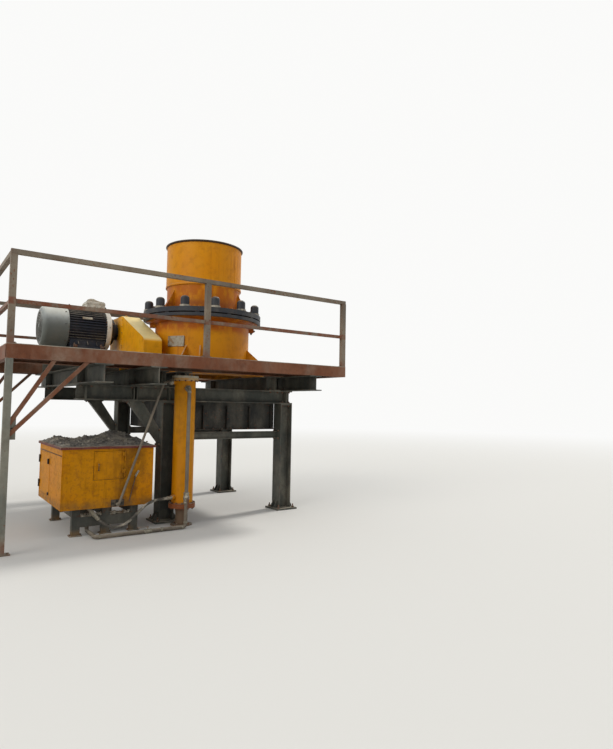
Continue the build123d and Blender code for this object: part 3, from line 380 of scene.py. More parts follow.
def weathered_paint(
    name, fresh, faded, stain, rust=0.3, dust=0.7, stains=0.4, film=0.12, gloss=0.42, edges=0.5, bands=(),
    shine=0.2, painted_sunlight=None,
):
    """Paint that has stood outdoors: faded clouds, running stains, rust at edges, dust on top, and grime with
    painted shade in its hollows.

    Each band is an axis, its two ends, how soft they are, a colour and how much of it lies there.
    The pale colour laid on what faces up is painted sunlight.
    """
    finish, tree, shader = new_finish(name, gloss)
    shader.inputs["Specular IOR Level"].default_value = shine
    body = mixed(tree, patches(tree, 0.9, 0.36, 0.64), fresh, faded)
    body = mixed(tree, times(tree, patches(tree, 0.11, 0.45, 0.75, 2), 0.35), body, stain)
    streaks = patches(tree, 0.045, 0.5, 0.72, 3, stretch=(1, 1, 0.06))
    runs = times(tree, streaks, patches(tree, 0.55, 0.38, 0.66, 7))
    body = mixed(tree, times(tree, runs, stains), body, stain)
    # What faces up is lightened towards a pale colour: painted sunlight.
    if painted_sunlight:
        body = mixed(tree, times(tree, facing_up(tree, 0.25, 0.85), 0.85), body, painted_sunlight)
    # Hollows of a piece take the stain colour, partly as grime and partly as painted shade.
    hollow_grime_and_shade = nearness(tree, 0.07, False, 0.35, 0.95)
    body = mixed(tree, times(tree, hollow_grime_and_shade, 0.55), body, stain)
    for number, (axis, low, high, soft, colour, amount) in enumerate(bands):
        share = times(tree, band(tree, axis, low, high, soft), amount)
        cloud = patches(tree, 0.13, 0.30, 0.58, 41 + number, stretch=(1, 1, 0.6)) if amount < 1 else 1.0
        body = mixed(tree, times(tree, share, cloud), body, colour)
    specks = patches(tree, 0.028, 0.66 - 0.12 * rust, 0.70 - 0.12 * rust, 11, 8)
    spots = times(tree, specks, patches(tree, 0.4, 0.42, 0.6, 13))
    worn = times(tree, nearness(tree, 0.007, True, 0.55, 0.98), patches(tree, 0.05, 0.5, 0.62, 17))
    rusted = reckon(tree, "ADD", times(tree, spots, min(1.0, 1.6 * rust)), times(tree, worn, edges))
    rust_body = mixed(tree, patches(tree, 0.012, 0.35, 0.65, 19), (70, 38, 24), (136, 74, 36))
    body = mixed(tree, rusted, body, rust_body)
    settled = times(tree, facing_up(tree), patches(tree, 0.22, 0.24, 0.62, 23))
    clinging = times(tree, patches(tree, 0.3, 0.4, 0.75, 29, stretch=(1, 1, 0.5)), film)
    dusty = reckon(tree, "ADD", times(tree, settled, dust), clinging)
    dust_body = mixed(tree, patches(tree, 0.03, 0.3, 0.7, 31), quarry_dust, (150, 140, 122))
    feed(tree, shader.inputs["Base Color"], mixed(tree, dusty, body, dust_body))
    dull = reckon(tree, "MAXIMUM", dusty, rusted)
    feed(tree, shader.inputs["Roughness"], spread(tree, dull, 0, 1, gloss, 0.92))
    grain = times(tree, patches(tree, 0.009, 0.2, 0.8, 37), spread(tree, dull, 0, 1, 0.25, 1.0))
    dented(tree, shader, grain, 0.0016)
    return finish


def repaint(finish, *nodes):
    """Gives CAD nodes their finish."""
    for node in nodes:
        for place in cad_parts[node].material_slots:
            place.link = "DATA"
            place.material = finish


stand_paint = weathered_paint(
    "stand_paint", (64, 67, 63), (84, 86, 79), (44, 41, 36),
    rust=0.45, dust=0.75, film=0.35, gloss=0.6,
)
repaint(stand_paint, "columns", "main_beams", "cross_beams", "stand_braces", "motor_pedestal", "slide_rails")


def add_block(shape, corner, opposite, edge=0.0):
    """A plate or block between two opposite corners, its edges broken by edge."""
    low, high = zip(*(sorted(ends) for ends in zip(corner, opposite)))
    corners = bmesh.ops.create_cube(shape, size=1.0)["verts"]
    bmesh.ops.scale(shape, vec=[h - l for l, h in zip(low, high)], verts=corners)
    bmesh.ops.translate(shape, vec=[(h + l) / 2 for l, h in zip(low, high)], verts=corners)
    if edge:
        sides = list({side for corner in corners for side in corner.link_edges})
        bmesh.ops.bevel(shape, geom=sides, offset=edge, segments=2, profile=0.5, affect="EDGES", material=-1)


def bolt_pattern(across_flats, shank_stand=0.0, washer=True):
    """One hexagon bolt head or nut on a washer, standing on z = 0, to be stamped many times."""
    radius, height = across_flats / math.sqrt(3), 0.62 * across_flats
    layers = [(16, 1.12, 1.08, 0.12 * across_flats)] if washer else []
    layers += [(6, 1.0, 1.0, 0.8 * height), (6, 1.0, 0.8, 0.2 * height)]
    if shank_stand:
        layers.append((12, 0.52, 0.46, shank_stand))
    bolt, foot = bmesh.new(), 0.0
    for sides, lower, upper, depth in layers:
        bmesh.ops.create_cone(
            bolt, cap_ends=True, segments=sides, radius1=lower * radius, radius2=upper * radius, depth=depth,
            matrix=Matrix.Translation((0, 0, foot + depth / 2)),
        )
        foot += depth
    return finished_mesh(bolt, "bolt")


def stamp(shape, pattern, places):
    """Copies a pattern to places, each a point and the way that its top looks."""
    for spot, way in places:
        count = len(shape.verts)
        shape.from_mesh(pattern)
        shape.verts.ensure_lookup_table()
        place = Matrix.Translation(spot) @ Vector(way).to_track_quat("Z", "Y").to_matrix().to_4x4()
        bmesh.ops.transform(shape, matrix=place, verts=shape.verts[count:])


bolt_steel = clouded_finish(
    "bolt_steel", 0.6, 0.35, (88, 80, 70),
    [((0.03, 0.4, 0.62), (112, 66, 40)), ((0.06, 0.3, 0.6, 5), quarry_dust, "top")],
    sheen=((0.02, 0.3, 0.7, 8), 0.5, 0.9), dents=((0.004, 0.3, 0.7), 0.0008),
)


def fit_bolts(name, slot, *rows):
    """One piece of bolts, in rows of a bolt pattern and the places where it is stamped."""
    bolts = bmesh.new()
    for pattern, places in rows:
        stamp(bolts, pattern, places)
    fit_piece(bolts, name, bolt_steel)


def four_about(x, y, out_x, out_y):
    """The four spots that lie out_x and out_y away from a middle."""
    return [(x + sx * out_x, y + sy * out_y) for sx in (-1, 1) for sy in (-1, 1)]


up, down, left, right = (Vector(way) for way in ((0, 0, 1), (0, 0, -1), (-1, 0, 0), (1, 0, 0)))
front, back = Vector((0, -1, 0)), Vector((0, 1, 0))
crusher_x = sum(corner[0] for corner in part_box("lower_adjustment_ring")) / 2
columns_low, columns_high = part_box("columns")
plate_size, plate_thickness, anchor_out, column_width = 0.38, 0.025, 0.14, 0.22
beam_width, beam_flange, beam_web = 0.22, 0.016, 0.012
column_places = [
    (x, y)
    for x in (columns_low[0] + plate_size / 2, columns_high[0] - plate_size / 2)
    for y in (columns_low[1] + plate_size / 2, columns_high[1] - plate_size / 2)
]
anchor_spots = [spot for x, y in column_places for spot in four_about(x, y, anchor_out, anchor_out)]
anchor_nut = bolt_pattern(0.036, shank_stand=0.032)
nut_places = [((x, y, plate_thickness), up) for x, y in anchor_spots]
fit_bolts("anchor_nuts", "stand_paint", (anchor_nut, nut_places))

cap_low_z, cap_high_z = columns_high[2] - plate_thickness, columns_high[2] + beam_flange
cap_spots = [spot for x, y in column_places for spot in four_about(x, y, 0.062, 0.075)]
cap_bolt = bolt_pattern(0.030)
fit_bolts(
    "column_cap_bolts", "stand_paint",
    (cap_bolt, [((x, y, cap_low_z), down) for x, y in cap_spots]),
    (cap_bolt, [((x, y, cap_high_z), up) for x, y in cap_spots]),
)

# The column's web lies across the row of its flanges, so the ribs at its foot stand on the flanges' outer
# faces. Each is a plate with its top cut down to a low toe.
rib_reach, rib_half, rib_top_z, rib_toe_z = 0.062, 0.006, 0.15, 0.055
column_ribs = bmesh.new()
for x, y in column_places:
    for side in (-1, 1):
        face = x + side * column_width / 2
        for rib_y in (y - 0.05, y + 0.05):
            rib_foot = (face, rib_y - rib_half, plate_thickness)
            add_block(column_ribs, rib_foot, (face + side * rib_reach, rib_y + rib_half, rib_top_z), 0.0015)
for corner in column_ribs.verts:
    nearest = min(column_places, key=lambda place: abs(place[0] - corner.co.x) + abs(place[1] - corner.co.y))
    if corner.co.z > 0.1 and abs(corner.co.x - nearest[0]) > (column_width + rib_reach) / 2:
        corner.co.z = rib_toe_z
fit_piece(column_ribs, "column_foot_ribs", stand_paint)

beams_low, beams_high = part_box("main_beams")
cross_low, cross_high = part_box("cross_beams")
guard_low, guard_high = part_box("belt_guard")
main_beam_rows = (beams_low[1] + beam_width / 2, beams_high[1] - beam_width / 2)
tie_x, tie_z = (-0.08, 1.74), (1.17, 1.28)
knee_x, knee_z = (-0.79, -0.30), (1.110, 1.737)
column_rows = sorted({x for x, y in column_places})
long_cross_rows = (beams_low[0] + beam_width / 2, guard_low[0] - 0.315, column_rows[1])
short_cross_rows = (guard_low[0] + 0.035, crusher_x - 0.79, crusher_x + 0.79)
stiffener_half, web_face, flange_tip = 0.006, beam_web / 2, beam_width / 2 - 0.008
stiffeners = bmesh.new()
for y in main_beam_rows:
    for x in (*column_rows, knee_x[0] + 0.08, *long_cross_rows[:2]):
        for side in (-1, 1):
            low = (x - stiffener_half, y + side * web_face, beams_low[2] + beam_flange)
            high = (x + stiffener_half, y + side * flange_tip, beams_high[2] - beam_flange)
            add_block(stiffeners, low, high, 0.001)
for x in (*long_cross_rows, *short_cross_rows):
    for y in main_beam_rows:
        for side in (-1, 1):
            low = (x + side * web_face, y - stiffener_half, cross_low[2] + beam_flange)
            high = (x + side * flange_tip, y + stiffener_half, cross_high[2] - beam_flange)
            add_block(stiffeners, low, high, 0.001)
fit_piece(stiffeners, "beam_stiffeners", stand_paint)

seat_bolt = bolt_pattern(0.027)
seat_spots = [
    spot for x in (*long_cross_rows, *short_cross_rows) for y in main_beam_rows
    for spot in four_about(x, y, 0.07, 0.07)
]
fit_bolts(
    "beam_seat_bolts", "stand_paint",
    (seat_bolt, [((x, y, cross_low[2] + beam_flange), up) for x, y in seat_spots]),
    (seat_bolt, [((x, y, beams_high[2] - beam_flange), down) for x, y in seat_spots]),
)

# Tie beams end in welded plates that are bolted to the columns' flanges, and the knee braces in
# welded foot plates against the columns and head plates under the main beams.
end_plate, plate_lap, knee_reach, tie_half, knee_half = 0.012, 0.03, 0.245, 0.085, 0.09
knee_head_z, knee_foot_x = knee_z[1] - end_plate, knee_x[1] - end_plate
end_plates = bmesh.new()
plate_bolt, plate_places = bolt_pattern(0.024), []
for y in main_beam_rows:
    for x, side in ((tie_x[0], 1), (tie_x[1], -1)):
        face = x + side * end_plate
        low, high = (x, y - tie_half, tie_z[0] - plate_lap), (face, y + tie_half, tie_z[1] + plate_lap)
        add_block(end_plates, low, high, 0.002)
        for bolt_z in (tie_z[0] - 0.008, tie_z[1] + 0.008):
            plate_places += [((face, y + sy * 0.066, bolt_z), (side, 0, 0)) for sy in (-1, 1)]
    head_end = (knee_x[0] + knee_reach, y + knee_half, knee_z[1])
    add_block(end_plates, (knee_x[0] - plate_lap, y - knee_half, knee_head_z), head_end, 0.002)
    foot_end = (knee_x[1], y + knee_half, knee_z[0] + knee_reach)
    add_block(end_plates, (knee_foot_x, y - knee_half, knee_z[0] - plate_lap), foot_end, 0.002)
    for step in (0.0, 0.215):
        for bolt_y in (y - 0.07, y + 0.07):
            plate_places.append(((knee_x[0] + step, bolt_y, knee_head_z), down))
            plate_places.append(((knee_foot_x, bolt_y, knee_z[0] + step), left))
fit_piece(end_plates, "brace_end_plates", stand_paint)
fit_bolts("brace_plate_bolts", "stand_paint", (plate_bolt, plate_places))


# Discharge box: four thick plates under the crusher, nearly black from damp fines, with flat
# stiffening bars welded on outside and a bolted angle along the foot.
def spaced(first, last, count):
    """Evenly spaced places from first to last."""
    return [first + step * (last - first) / (count - 1) for step in range(count)]


box_low, box_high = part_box("discharge_box")
box_paint = weathered_paint(
    "discharge_plate", (38, 40, 40), (56, 56, 53), (34, 31, 27), rust=0.5, dust=0.7, film=0.25, gloss=0.7,
)
repaint(box_paint, "discharge_box")
bar_reach, bar_half, angle_thickness = 0.055, 0.006, 0.010
angle_top_z = box_low[2] + angle_thickness
box_bars = bmesh.new()
box_places = []
for side, face in ((-1, box_low[1]), (1, box_high[1])):
    out = face + side * bar_reach
    for x in spaced(box_low[0] + 0.08, box_high[0] - 0.08, 5):
        low, high = (x - bar_half, face, box_low[2] + 0.012), (x + bar_half, out, box_high[2] - 0.05)
        add_block(box_bars, low, high, 0.0015)
    add_block(box_bars, (box_low[0], face, box_low[2]), (box_high[0], out, angle_top_z), 0.0015)
    for x in spaced(box_low[0] + 0.05, box_high[0] - 0.05, 12):
        box_places.append(((x, face + side * 0.034, angle_top_z), up))
fit_piece(box_bars, "discharge_box_bars", box_paint)
fit_bolts("discharge_box_bolts", "stand_paint", (bolt_pattern(0.022), box_places))


# Platform frame: channel beams round the edge and two inner joists, welded, in a red-brown paint that
# the sun has faded and the rust comes through. Square-tube struts brace it to the ground posts.
platform_paint = weathered_paint(
    "platform_paint", (110, 66, 44), (122, 80, 58), (64, 38, 26),
    rust=0.6, dust=0.8, film=0.32, gloss=0.65,
)
repaint(platform_paint, "long_edge_beams", "end_edge_beams", "deck_joists", "deck_struts")
deck_low, deck_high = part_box("deck_plates")
edge_low, edge_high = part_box("long_edge_beams")
edge_inner_y, web_out, web_half, edge_flange = 1.98 - 0.075, 0.066, 0.005, 0.009
webs = bmesh.new()
for x in spaced(deck_low[0] + 0.12, deck_high[0] - 0.12, 9):
    for side in (-1, 1):
        low = (x - web_half, side * edge_inner_y, edge_low[2] + edge_flange)
        high = (x + web_half, side * (edge_inner_y + web_out), edge_high[2] - edge_flange)
        add_block(webs, low, high, 0.001)
fit_piece(webs, "edge_beam_webs", platform_paint)

# Deck: chequered steel plate, 8 mm thick, laid on the beams and fixed with countersunk screws.
# Its raised lozenges alternate in direction, and quarry dust and grit fill the hollows between.
def figure(tree, operation, first, second=0.0):
    """One step of arithmetic on two numbers of any size."""
    number = reckon(tree, operation, first, second)
    number.node.use_clamp = False
    return number


def raised_lozenges(tree, cell):
    """Lozenges of a chequered plate, one in each square cell, turned by a quarter from cell to cell."""
    spot = tree.nodes.new("ShaderNodeTexCoord")
    turned = tree.nodes.new("ShaderNodeMapping")
    turned.inputs["Rotation"].default_value = (0, 0, math.pi / 4)
    turned.inputs["Scale"].default_value = (1 / cell, 1 / cell, 1 / cell)
    tree.links.new(spot.outputs["Object"], turned.inputs["Vector"])
    parts = tree.nodes.new("ShaderNodeSeparateXYZ")
    tree.links.new(turned.outputs["Vector"], parts.inputs[0])
    cells = [figure(tree, "FLOOR", parts.outputs[axis]) for axis in "XY"]
    reach_x, reach_y = (
        figure(tree, "ABSOLUTE", figure(tree, "SUBTRACT", figure(tree, "FRACT", parts.outputs[axis]), 0.5))
        for axis in "XY"
    )
    parity = figure(tree, "FLOORED_MODULO", figure(tree, "ADD", *cells), 2.0)
    along_x, along_y = (
        figure(tree, "ADD", figure(tree, "MULTIPLY", long_way, 1.9), figure(tree, "MULTIPLY", short_way, 6.5))
        for long_way, short_way in ((reach_x, reach_y), (reach_y, reach_x))
    )
    even_ones = figure(tree, "MULTIPLY", along_x, figure(tree, "SUBTRACT", 1.0, parity))
    shape = figure(tree, "ADD", even_ones, figure(tree, "MULTIPLY", along_y, parity))
    return spread(tree, shape, 0.55, 0.95, 1.0, 0.0)


deck_finish, deck_tree, deck_shader = new_finish("chequered_plate", 0.6, 0.25)
lozenges = raised_lozenges(deck_tree, 0.034)
deck_body = mixed(deck_tree, patches(deck_tree, 0.5, 0.36, 0.64), (92, 70, 56), (116, 100, 86))
deck_rust = times(deck_tree, patches(deck_tree, 0.16, 0.5, 0.66, 4), 0.8)
deck_body = mixed(deck_tree, deck_rust, deck_body, (104, 58, 34))
deck_body = mixed(deck_tree, times(deck_tree, lozenges, 0.6), deck_body, (128, 122, 114))
deck_dust = times(deck_tree, patches(deck_tree, 0.34, 0.30, 0.60, 9), 0.85)
deck_dust = times(deck_tree, deck_dust, spread(deck_tree, lozenges, 0, 1, 1.0, 0.55))
deck_body = mixed(deck_tree, deck_dust, deck_body, quarry_dust)
feed(deck_tree, deck_shader.inputs["Base Color"], deck_body)
feed(deck_tree, deck_shader.inputs["Roughness"], spread(deck_tree, deck_dust, 0, 1, 0.5, 0.92))
dented(deck_tree, deck_shader, lozenges, 0.0022)
repaint(deck_finish, "deck_plates")

front_joint_y, back_joint_y, deck_top_z = -1.18, 1.46, deck_high[2]
post_rows = (-2.3975, 0.0, 2.3975)
screw_head = [(0.0, 0.0014), (0.005, 0.0012), (0.0055, 0.0020), (0.0105, 0.0020), (0.0125, 0.0)]
deck_screw = bmesh.new()
add_turned(deck_screw, screw_head, (0, 0, 0), up, 16)
screw_places = [
    ((x, y, deck_top_z), up)
    for y in (-1.94, front_joint_y - 0.04, back_joint_y + 0.04, 1.94)
    for x in spaced(-2.30, 2.30, 13)
    if abs(y) < 1.9 or min(abs(x - post_x) for post_x in post_rows) > 0.09
]
fit_bolts("deck_screws", "rusty_steel", (finished_mesh(deck_screw, "deck_screw"), screw_places))


# Loose grit and broken stone lie on the deck under the crusher and the drive, and along the edges.
# It is limestone, pale and angular, from walnut size down.
def strew(shape, count, zone, floor_z, sizes, chance, sunk=0.35):
    """Strews broken stones over a level zone, given as its x and y ends, each sunk a little."""
    for _ in range(count):
        x, y = chance.uniform(zone[0], zone[1]), chance.uniform(zone[2], zone[3])
        radius = sizes[0] + (sizes[1] - sizes[0]) * chance.random() ** 2.2
        stone = bmesh.ops.create_icosphere(shape, subdivisions=1, radius=radius)["verts"]
        for corner in stone:
            corner.co *= chance.uniform(0.72, 1.12)
        bmesh.ops.scale(shape, vec=(1, chance.uniform(0.6, 0.95), chance.uniform(0.5, 0.75)), verts=stone)
        spin = Matrix.Rotation(chance.uniform(0, 6.28), 4, "Z")
        tip = Matrix.Rotation(chance.uniform(-0.4, 0.4), 4, "X")
        place = Matrix.Translation((x, y, floor_z + sunk * radius))
        bmesh.ops.transform(shape, matrix=place @ (spin @ tip), verts=stone)


stone_finish = clouded_finish(
    "broken_stone", 0.9, 0.0, (150, 142, 126),
    [((0.05, 0.35, 0.65), (196, 188, 172)), ((0.2, 0.5, 0.7, 3), (128, 104, 82))],
    dents=((0.006, 0.3, 0.7), 0.002),
)

chance = random.Random(17)
deck_grit = bmesh.new()
for zone, count in (
    ((-2.2, 2.3, -1.86, -1.24), 60), ((-2.2, 2.3, 1.50, 1.86), 50), ((2.0, 2.38, -1.1, 1.4), 40),
    ((-2.3, -1.75, -1.1, 1.3), 22), ((-0.9, -0.4, -1.1, 0.6), 34),
):
    strew(deck_grit, count, zone, deck_top_z, (0.004, 0.019), chance)
fit_piece(deck_grit, "deck_grit", stone_finish, soft_edge=20)

# Handrails: welded square steel tube, once painted grey, now worn brown, with the middle rail rusted most.
# Each post stands on a small foot plate with two bolts, and the rails are welded to it all round.
rust_wash = (112, 62, 40)
rail_paint = weathered_paint(
    "rail_paint", (104, 94, 82), (128, 116, 100), (84, 54, 38), rust=0.7, dust=0.6, film=0.3, gloss=0.6,
    bands=(("Z", 2.79, 2.87, 0.008, rust_wash, 0.95), ("Z", 2.3, 2.44, 0.05, rust_wash, 0.6)),
)
repaint(rail_paint, "long_handrails", "handrail_left")
rail_y, mid_rail_z, top_rail_z, foot_plate = 1.9425, 2.83, 3.364, 0.008
edge_x, edge_y = 2.433, 1.978
foot_long, foot_short, bead_out, bead_half, collar_half = 0.062, 0.036, 0.035, 0.026, 0.037
post_spots = [(x, y) for x in post_rows for y in (-rail_y, rail_y)] + [(post_rows[0], 0.0)]
post_feet, rail_beads = bmesh.new(), bmesh.new()
post_bolt, post_bolt_places = bolt_pattern(0.016), []
foot_top_z = deck_top_z + foot_plate
for x, y in post_spots:
    out_x, out_y = (foot_long, foot_short) if y else (foot_short, foot_long)
    low = (max(x - out_x, -edge_x), max(y - out_y, -edge_y), deck_top_z)
    add_block(post_feet, low, (min(x + out_x, edge_x), min(y + out_y, edge_y), foot_top_z), 0.0015)
    for sign in (-1, 1):
        bolt_x, bolt_y = (x + sign * 0.048, y) if y else (x, y + sign * 0.048)
        if abs(bolt_x) < edge_x:
            post_bolt_places.append(((bolt_x, bolt_y, foot_top_z), up))
        low, high = ([place + side * bead_half for place in (x, y, mid_rail_z)] for side in (-1, 1))
        axis = 0 if y else 1
        low[axis] = (x, y)[axis] + sign * bead_out
        high[axis] = low[axis] + sign * 0.005
        if abs(low[0]) < edge_x and abs(high[0]) < edge_x:
            add_block(rail_beads, low, high, 0.002)
    low = (max(x - collar_half, -edge_x - 0.001), max(y - collar_half, -edge_y - 0.001), top_rail_z - 0.005)
    high = (min(x + collar_half, edge_x + 0.001), min(y + collar_half, edge_y + 0.001), top_rail_z + 0.001)
    add_block(rail_beads, low, high, 0.0015)
fit_piece(post_feet, "rail_post_feet", rail_paint)
fit_bolts("rail_post_bolts", "rail_steel", (post_bolt, post_bolt_places))
fit_piece(rail_beads, "rail_weld_beads", rail_paint)

# Ground posts: thicker square tube under the platform's left corners, in grey-green paint, on small
# foot plates. Gusset plates are welded where the struts meet them.
post_paint = weathered_paint(
    "ground_post_paint", (104, 106, 98), (124, 122, 110), (76, 62, 48),
    rust=0.5, dust=0.6, film=0.4, gloss=0.65,
    bands=(("Z", -0.1, 0.16, 0.08, rust_wash, 0.8),),
)
repaint(post_paint, "ground_posts")
ground_plate, gusset_half, gusset_inner_x = 0.012, 0.004, -2.30
post_plates = bmesh.new()
ground_places = []
for side in (-1, 1):
    add_block(post_plates, (-edge_x, side * edge_y, 0.0), (gusset_inner_x, side * 1.86, ground_plate), 0.002)
    ground_places += [((-2.328, side * 1.945, ground_plate), up), ((-2.37, side * 1.882, ground_plate), up)]
    for strut_z in (1.30, 1.42):
        low = (-2.361, side * rail_y - gusset_half, strut_z - 0.03)
        add_block(post_plates, low, (gusset_inner_x, side * rail_y + gusset_half, strut_z + 0.1), 0.001)
fit_piece(post_plates, "ground_post_plates", post_paint)
fit_bolts("ground_post_bolts", "rail_steel", (post_bolt, ground_places))


# Crusher frame, neck and hopper: a heavy steel casting with welded ribs and a rolled-plate hopper, in
# orange-yellow enamel. Oil and rusty water have stained it under the rings and on the neck.
rust_stain, oil_stain = (142, 74, 26), (96, 62, 30)
crusher_paint = weathered_paint(
    "crusher_paint", (203, 128, 2), (206, 136, 6), (136, 76, 8),
    rust=0.18, dust=0.85, stains=0.55, film=0.03, gloss=0.45, edges=0.35, shine=0.15,
    bands=(
        ("Z", 3.20, 3.67, 0.02, (168, 88, 8), 0.9), ("Z", 3.23, 3.42, 0.06, rust_stain, 0.85),
        ("Z", 2.90, 3.11, 0.06, (170, 84, 8), 0.9), ("Z", 3.00, 3.11, 0.03, rust_stain, 0.9),
        ("Z", 2.18, 2.27, 0.02, oil_stain, 0.7), ("Z", 4.380, 4.43, 0.004, (62, 50, 42), 1.0),
    ),
)
repaint(
    crusher_paint, "main_frame", "frame_flanges", "frame_ribs", "frame_hub", "hopper_neck", "neck_gussets",
    "feed_hopper",
)


def around(radius, z, count, first=0.0, centre=(crusher_x, 0.0)):
    """Evenly spaced spots on a circle about an upright axis, with their angles."""
    turns = [math.radians(first + step * 360 / count) for step in range(count)]
    return [((centre[0] + radius * math.cos(a), centre[1] + radius * math.sin(a), z), a) for a in turns]


frame_foot_z, frame_radius, neck_radius, hopper_radius = 2.242, 0.8, 0.622, 0.64
fit_bolts("frame_foot_bolts", "crusher_paint", (bolt_pattern(0.040, shank_stand=0.012), [
    (spot, up) for spot, angle in around(1.0, frame_foot_z, 24, 7.5) if math.cos(angle) > -0.8
]))

housing_x, housing_radius, shaft_z = -0.015, 0.206, 2.472
housing_turns = [math.radians(15 + 30 * step) for step in range(12)]
fit_bolts("countershaft_housing_bolts", "crusher_paint", (bolt_pattern(0.017, washer=False), [
    ((housing_x, housing_radius * math.cos(turn_by), shaft_z + housing_radius * math.sin(turn_by)), right)
    for turn_by in housing_turns
]))


def add_bead(shape, centre, radius, height, lean=0.45, sides=96):
    """A fillet weld round an upright tube. One with a height below zero hangs under a flange."""
    width, z = abs(height), centre[2]
    belly = (radius + lean * width, z + 0.6 * height)
    outline = [(radius, z), (radius + width, z), belly, (radius, z + height), (radius, z)]
    add_turned(shape, outline, (centre[0], centre[1], 0), up, sides)


weld_beads = bmesh.new()
for radius, z, height in (
    (frame_radius, frame_foot_z, 0.012), (neck_radius, 3.245, 0.010), (hopper_radius, 3.704, 0.007),
    (neck_radius, 3.680, -0.008),
):
    add_bead(weld_beads, (crusher_x, 0, z), radius, height)
for angle in (-62, 118):
    seam = bmesh.new()
    add_block(seam, (hopper_radius - 0.0015, -0.006, 3.71), (hopper_radius + 0.0025, 0.006, 4.37), 0.0018)
    seam_turn = Matrix.Translation((crusher_x, 0, 0)) @ Matrix.Rotation(math.radians(angle), 4, "Z")
    bmesh.ops.transform(seam, matrix=seam_turn, verts=seam.verts)
    weld_beads.from_mesh(finished_mesh(seam, "hopper_seam"))
fit_piece(weld_beads, "crusher_weld_beads", crusher_paint)

# Four forged lugs under the frame's rim hold the release rods. Each has a rusty pin, with a nut on its
# outer face and another one below.
lug_nut = bolt_pattern(0.034, shank_stand=0.010)
outer_pins, lower_pins = around(0.89, 3.022, 4, -20), around(0.855, 2.990, 4, -20)
fit_bolts(
    "rim_lug_pins", "crusher_paint",
    (lug_nut, [(spot, (math.cos(angle), math.sin(angle), 0)) for spot, angle in outer_pins if spot[0] > 0.1]),
    (lug_nut, [(spot, down) for spot, angle in lower_pins if spot[0] > 0.1]),
)

# Adjustment rings: machined steel, slate-grey under grease and fine dust, with bridging blocks
# between them. A bank of dust and grit lies in the corner round the hopper's neck.
ring_steel = weathered_paint(
    "ring_steel", (38, 42, 50), (54, 57, 62), (44, 34, 26),
    rust=0.3, dust=0.85, stains=0.5, film=0.16, gloss=0.5,
)
repaint(ring_steel, "lower_adjustment_ring", "upper_adjustment_ring", "ring_bridges", "oil_tank")
ring_top_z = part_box("upper_adjustment_ring")[1][2]
dust_finish = clouded_finish(
    "settled_dust", 0.95, 0.0, (134, 118, 98), [((0.08, 0.3, 0.7), quarry_dust)],
    dents=((0.012, 0.25, 0.75, 0, 8), 0.006),
)
dust_bank = bmesh.new()
bank_outline = [(0.001, 0.0), (0.085, 0.0), (0.05, 0.012), (0.018, 0.028), (0.001, 0.034), (0.001, 0.0)]
bank_outline = [(neck_radius + out, rise) for out, rise in bank_outline]
add_turned(dust_bank, bank_outline, (crusher_x, 0, ring_top_z), up, 120)
for corner in dust_bank.verts:
    if corner.co.z > ring_top_z + 0.005:
        angle = math.atan2(corner.co.y, corner.co.x - crusher_x)
        corner.co.z += (
            0.010 * math.sin(5 * angle) + 0.006 * math.sin(13 * angle + 1) + 0.003 * math.sin(37 * angle)
        )
fit_piece(dust_bank, "neck_dust_bank", dust_finish, soft_edge=60)
ring_grit = bmesh.new()
for _ in range(90):
    angle = chance.uniform(0, 6.28)
    radius = chance.choice((chance.uniform(0.64, 0.80), chance.uniform(0.94, 0.99)))
    x, y = crusher_x + radius * math.cos(angle), radius * math.sin(angle)
    strew(ring_grit, 1, (x, x, y, y), ring_top_z, (0.004, 0.015), chance)
fit_piece(ring_grit, "ring_grit", stone_finish, soft_edge=20)

# Clamping cylinders: twelve short hydraulic cylinders of cast steel, their domed caps nearly black
# and their collars, which stand on the ring, pale with dust.
cap_steel = weathered_paint(
    "cap_steel", (40, 44, 50), (54, 56, 62), (64, 46, 34),
    rust=0.2, dust=0.7, film=0.15, gloss=0.4, bands=(("Z", 3.24, 3.276, 0.004, quarry_dust, 0.9),),
)
repaint(cap_steel, "clamping_cylinders")

# Bowl liner, mantle and feed plate: manganese steel castings, worn bright in vertical scours where
# stone rubs them and brown with rust and stone flour elsewhere.
wear_iron, wear_tree, wear_shader = new_finish("worn_manganese", 0.5, 0.7)
wear_body = mixed(wear_tree, patches(wear_tree, 0.18, 0.38, 0.62), (96, 86, 78), (122, 92, 66))
scours = times(wear_tree, patches(wear_tree, 0.012, 0.45, 0.7, 6, stretch=(1, 1, 0.08)), 0.6)
wear_body = mixed(wear_tree, scours, wear_body, (168, 162, 154))
flour = times(wear_tree, facing_up(wear_tree), patches(wear_tree, 0.1, 0.3, 0.62, 9))
feed(wear_tree, wear_shader.inputs["Base Color"], mixed(wear_tree, flour, wear_body, quarry_dust))
feed(wear_tree, wear_shader.inputs["Roughness"], spread(wear_tree, flour, 0, 1, 0.42, 0.95))
dented(wear_tree, wear_shader, patches(wear_tree, 0.02, 0.3, 0.7, 2, 8), 0.003)
repaint(wear_iron, "bowl_liner", "cone_head", "feed_plate")

# Nameplate: a bare aluminium plate on the shell, dulled by weather, inside a rolled edge and held
# by four rivets. It carries no writing.
brushed = (0.02, 0.3, 0.7, 0, 5, (1, 1, 12))
plate_finish = clouded_finish(
    "dull_aluminium", 0.5, 0.55, (132, 126, 112),
    [(brushed, (152, 146, 130)), ((0.08, 0.46, 0.62, 4), (118, 96, 68))], sheen=(brushed, 0.42, 0.6),
)
repaint(plate_finish, "nameplate")
plate_turn, plate_radius, plate_z = math.radians(-146), 0.806, 2.712
plate_x, plate_y = crusher_x + plate_radius * math.cos(plate_turn), plate_radius * math.sin(plate_turn)
plate_place = (
    Matrix.Translation((plate_x, plate_y, plate_z))
    @ Matrix.Rotation(plate_turn + math.pi / 2, 4, "Z") @ Matrix.Rotation(math.pi / 2, 4, "X")
)
half_long, half_high, rim_width, rim_back, rim_front, rivet_inset = 0.15, 0.085, 0.008, -0.001, 0.0025, 0.018
plate_rim = bmesh.new()
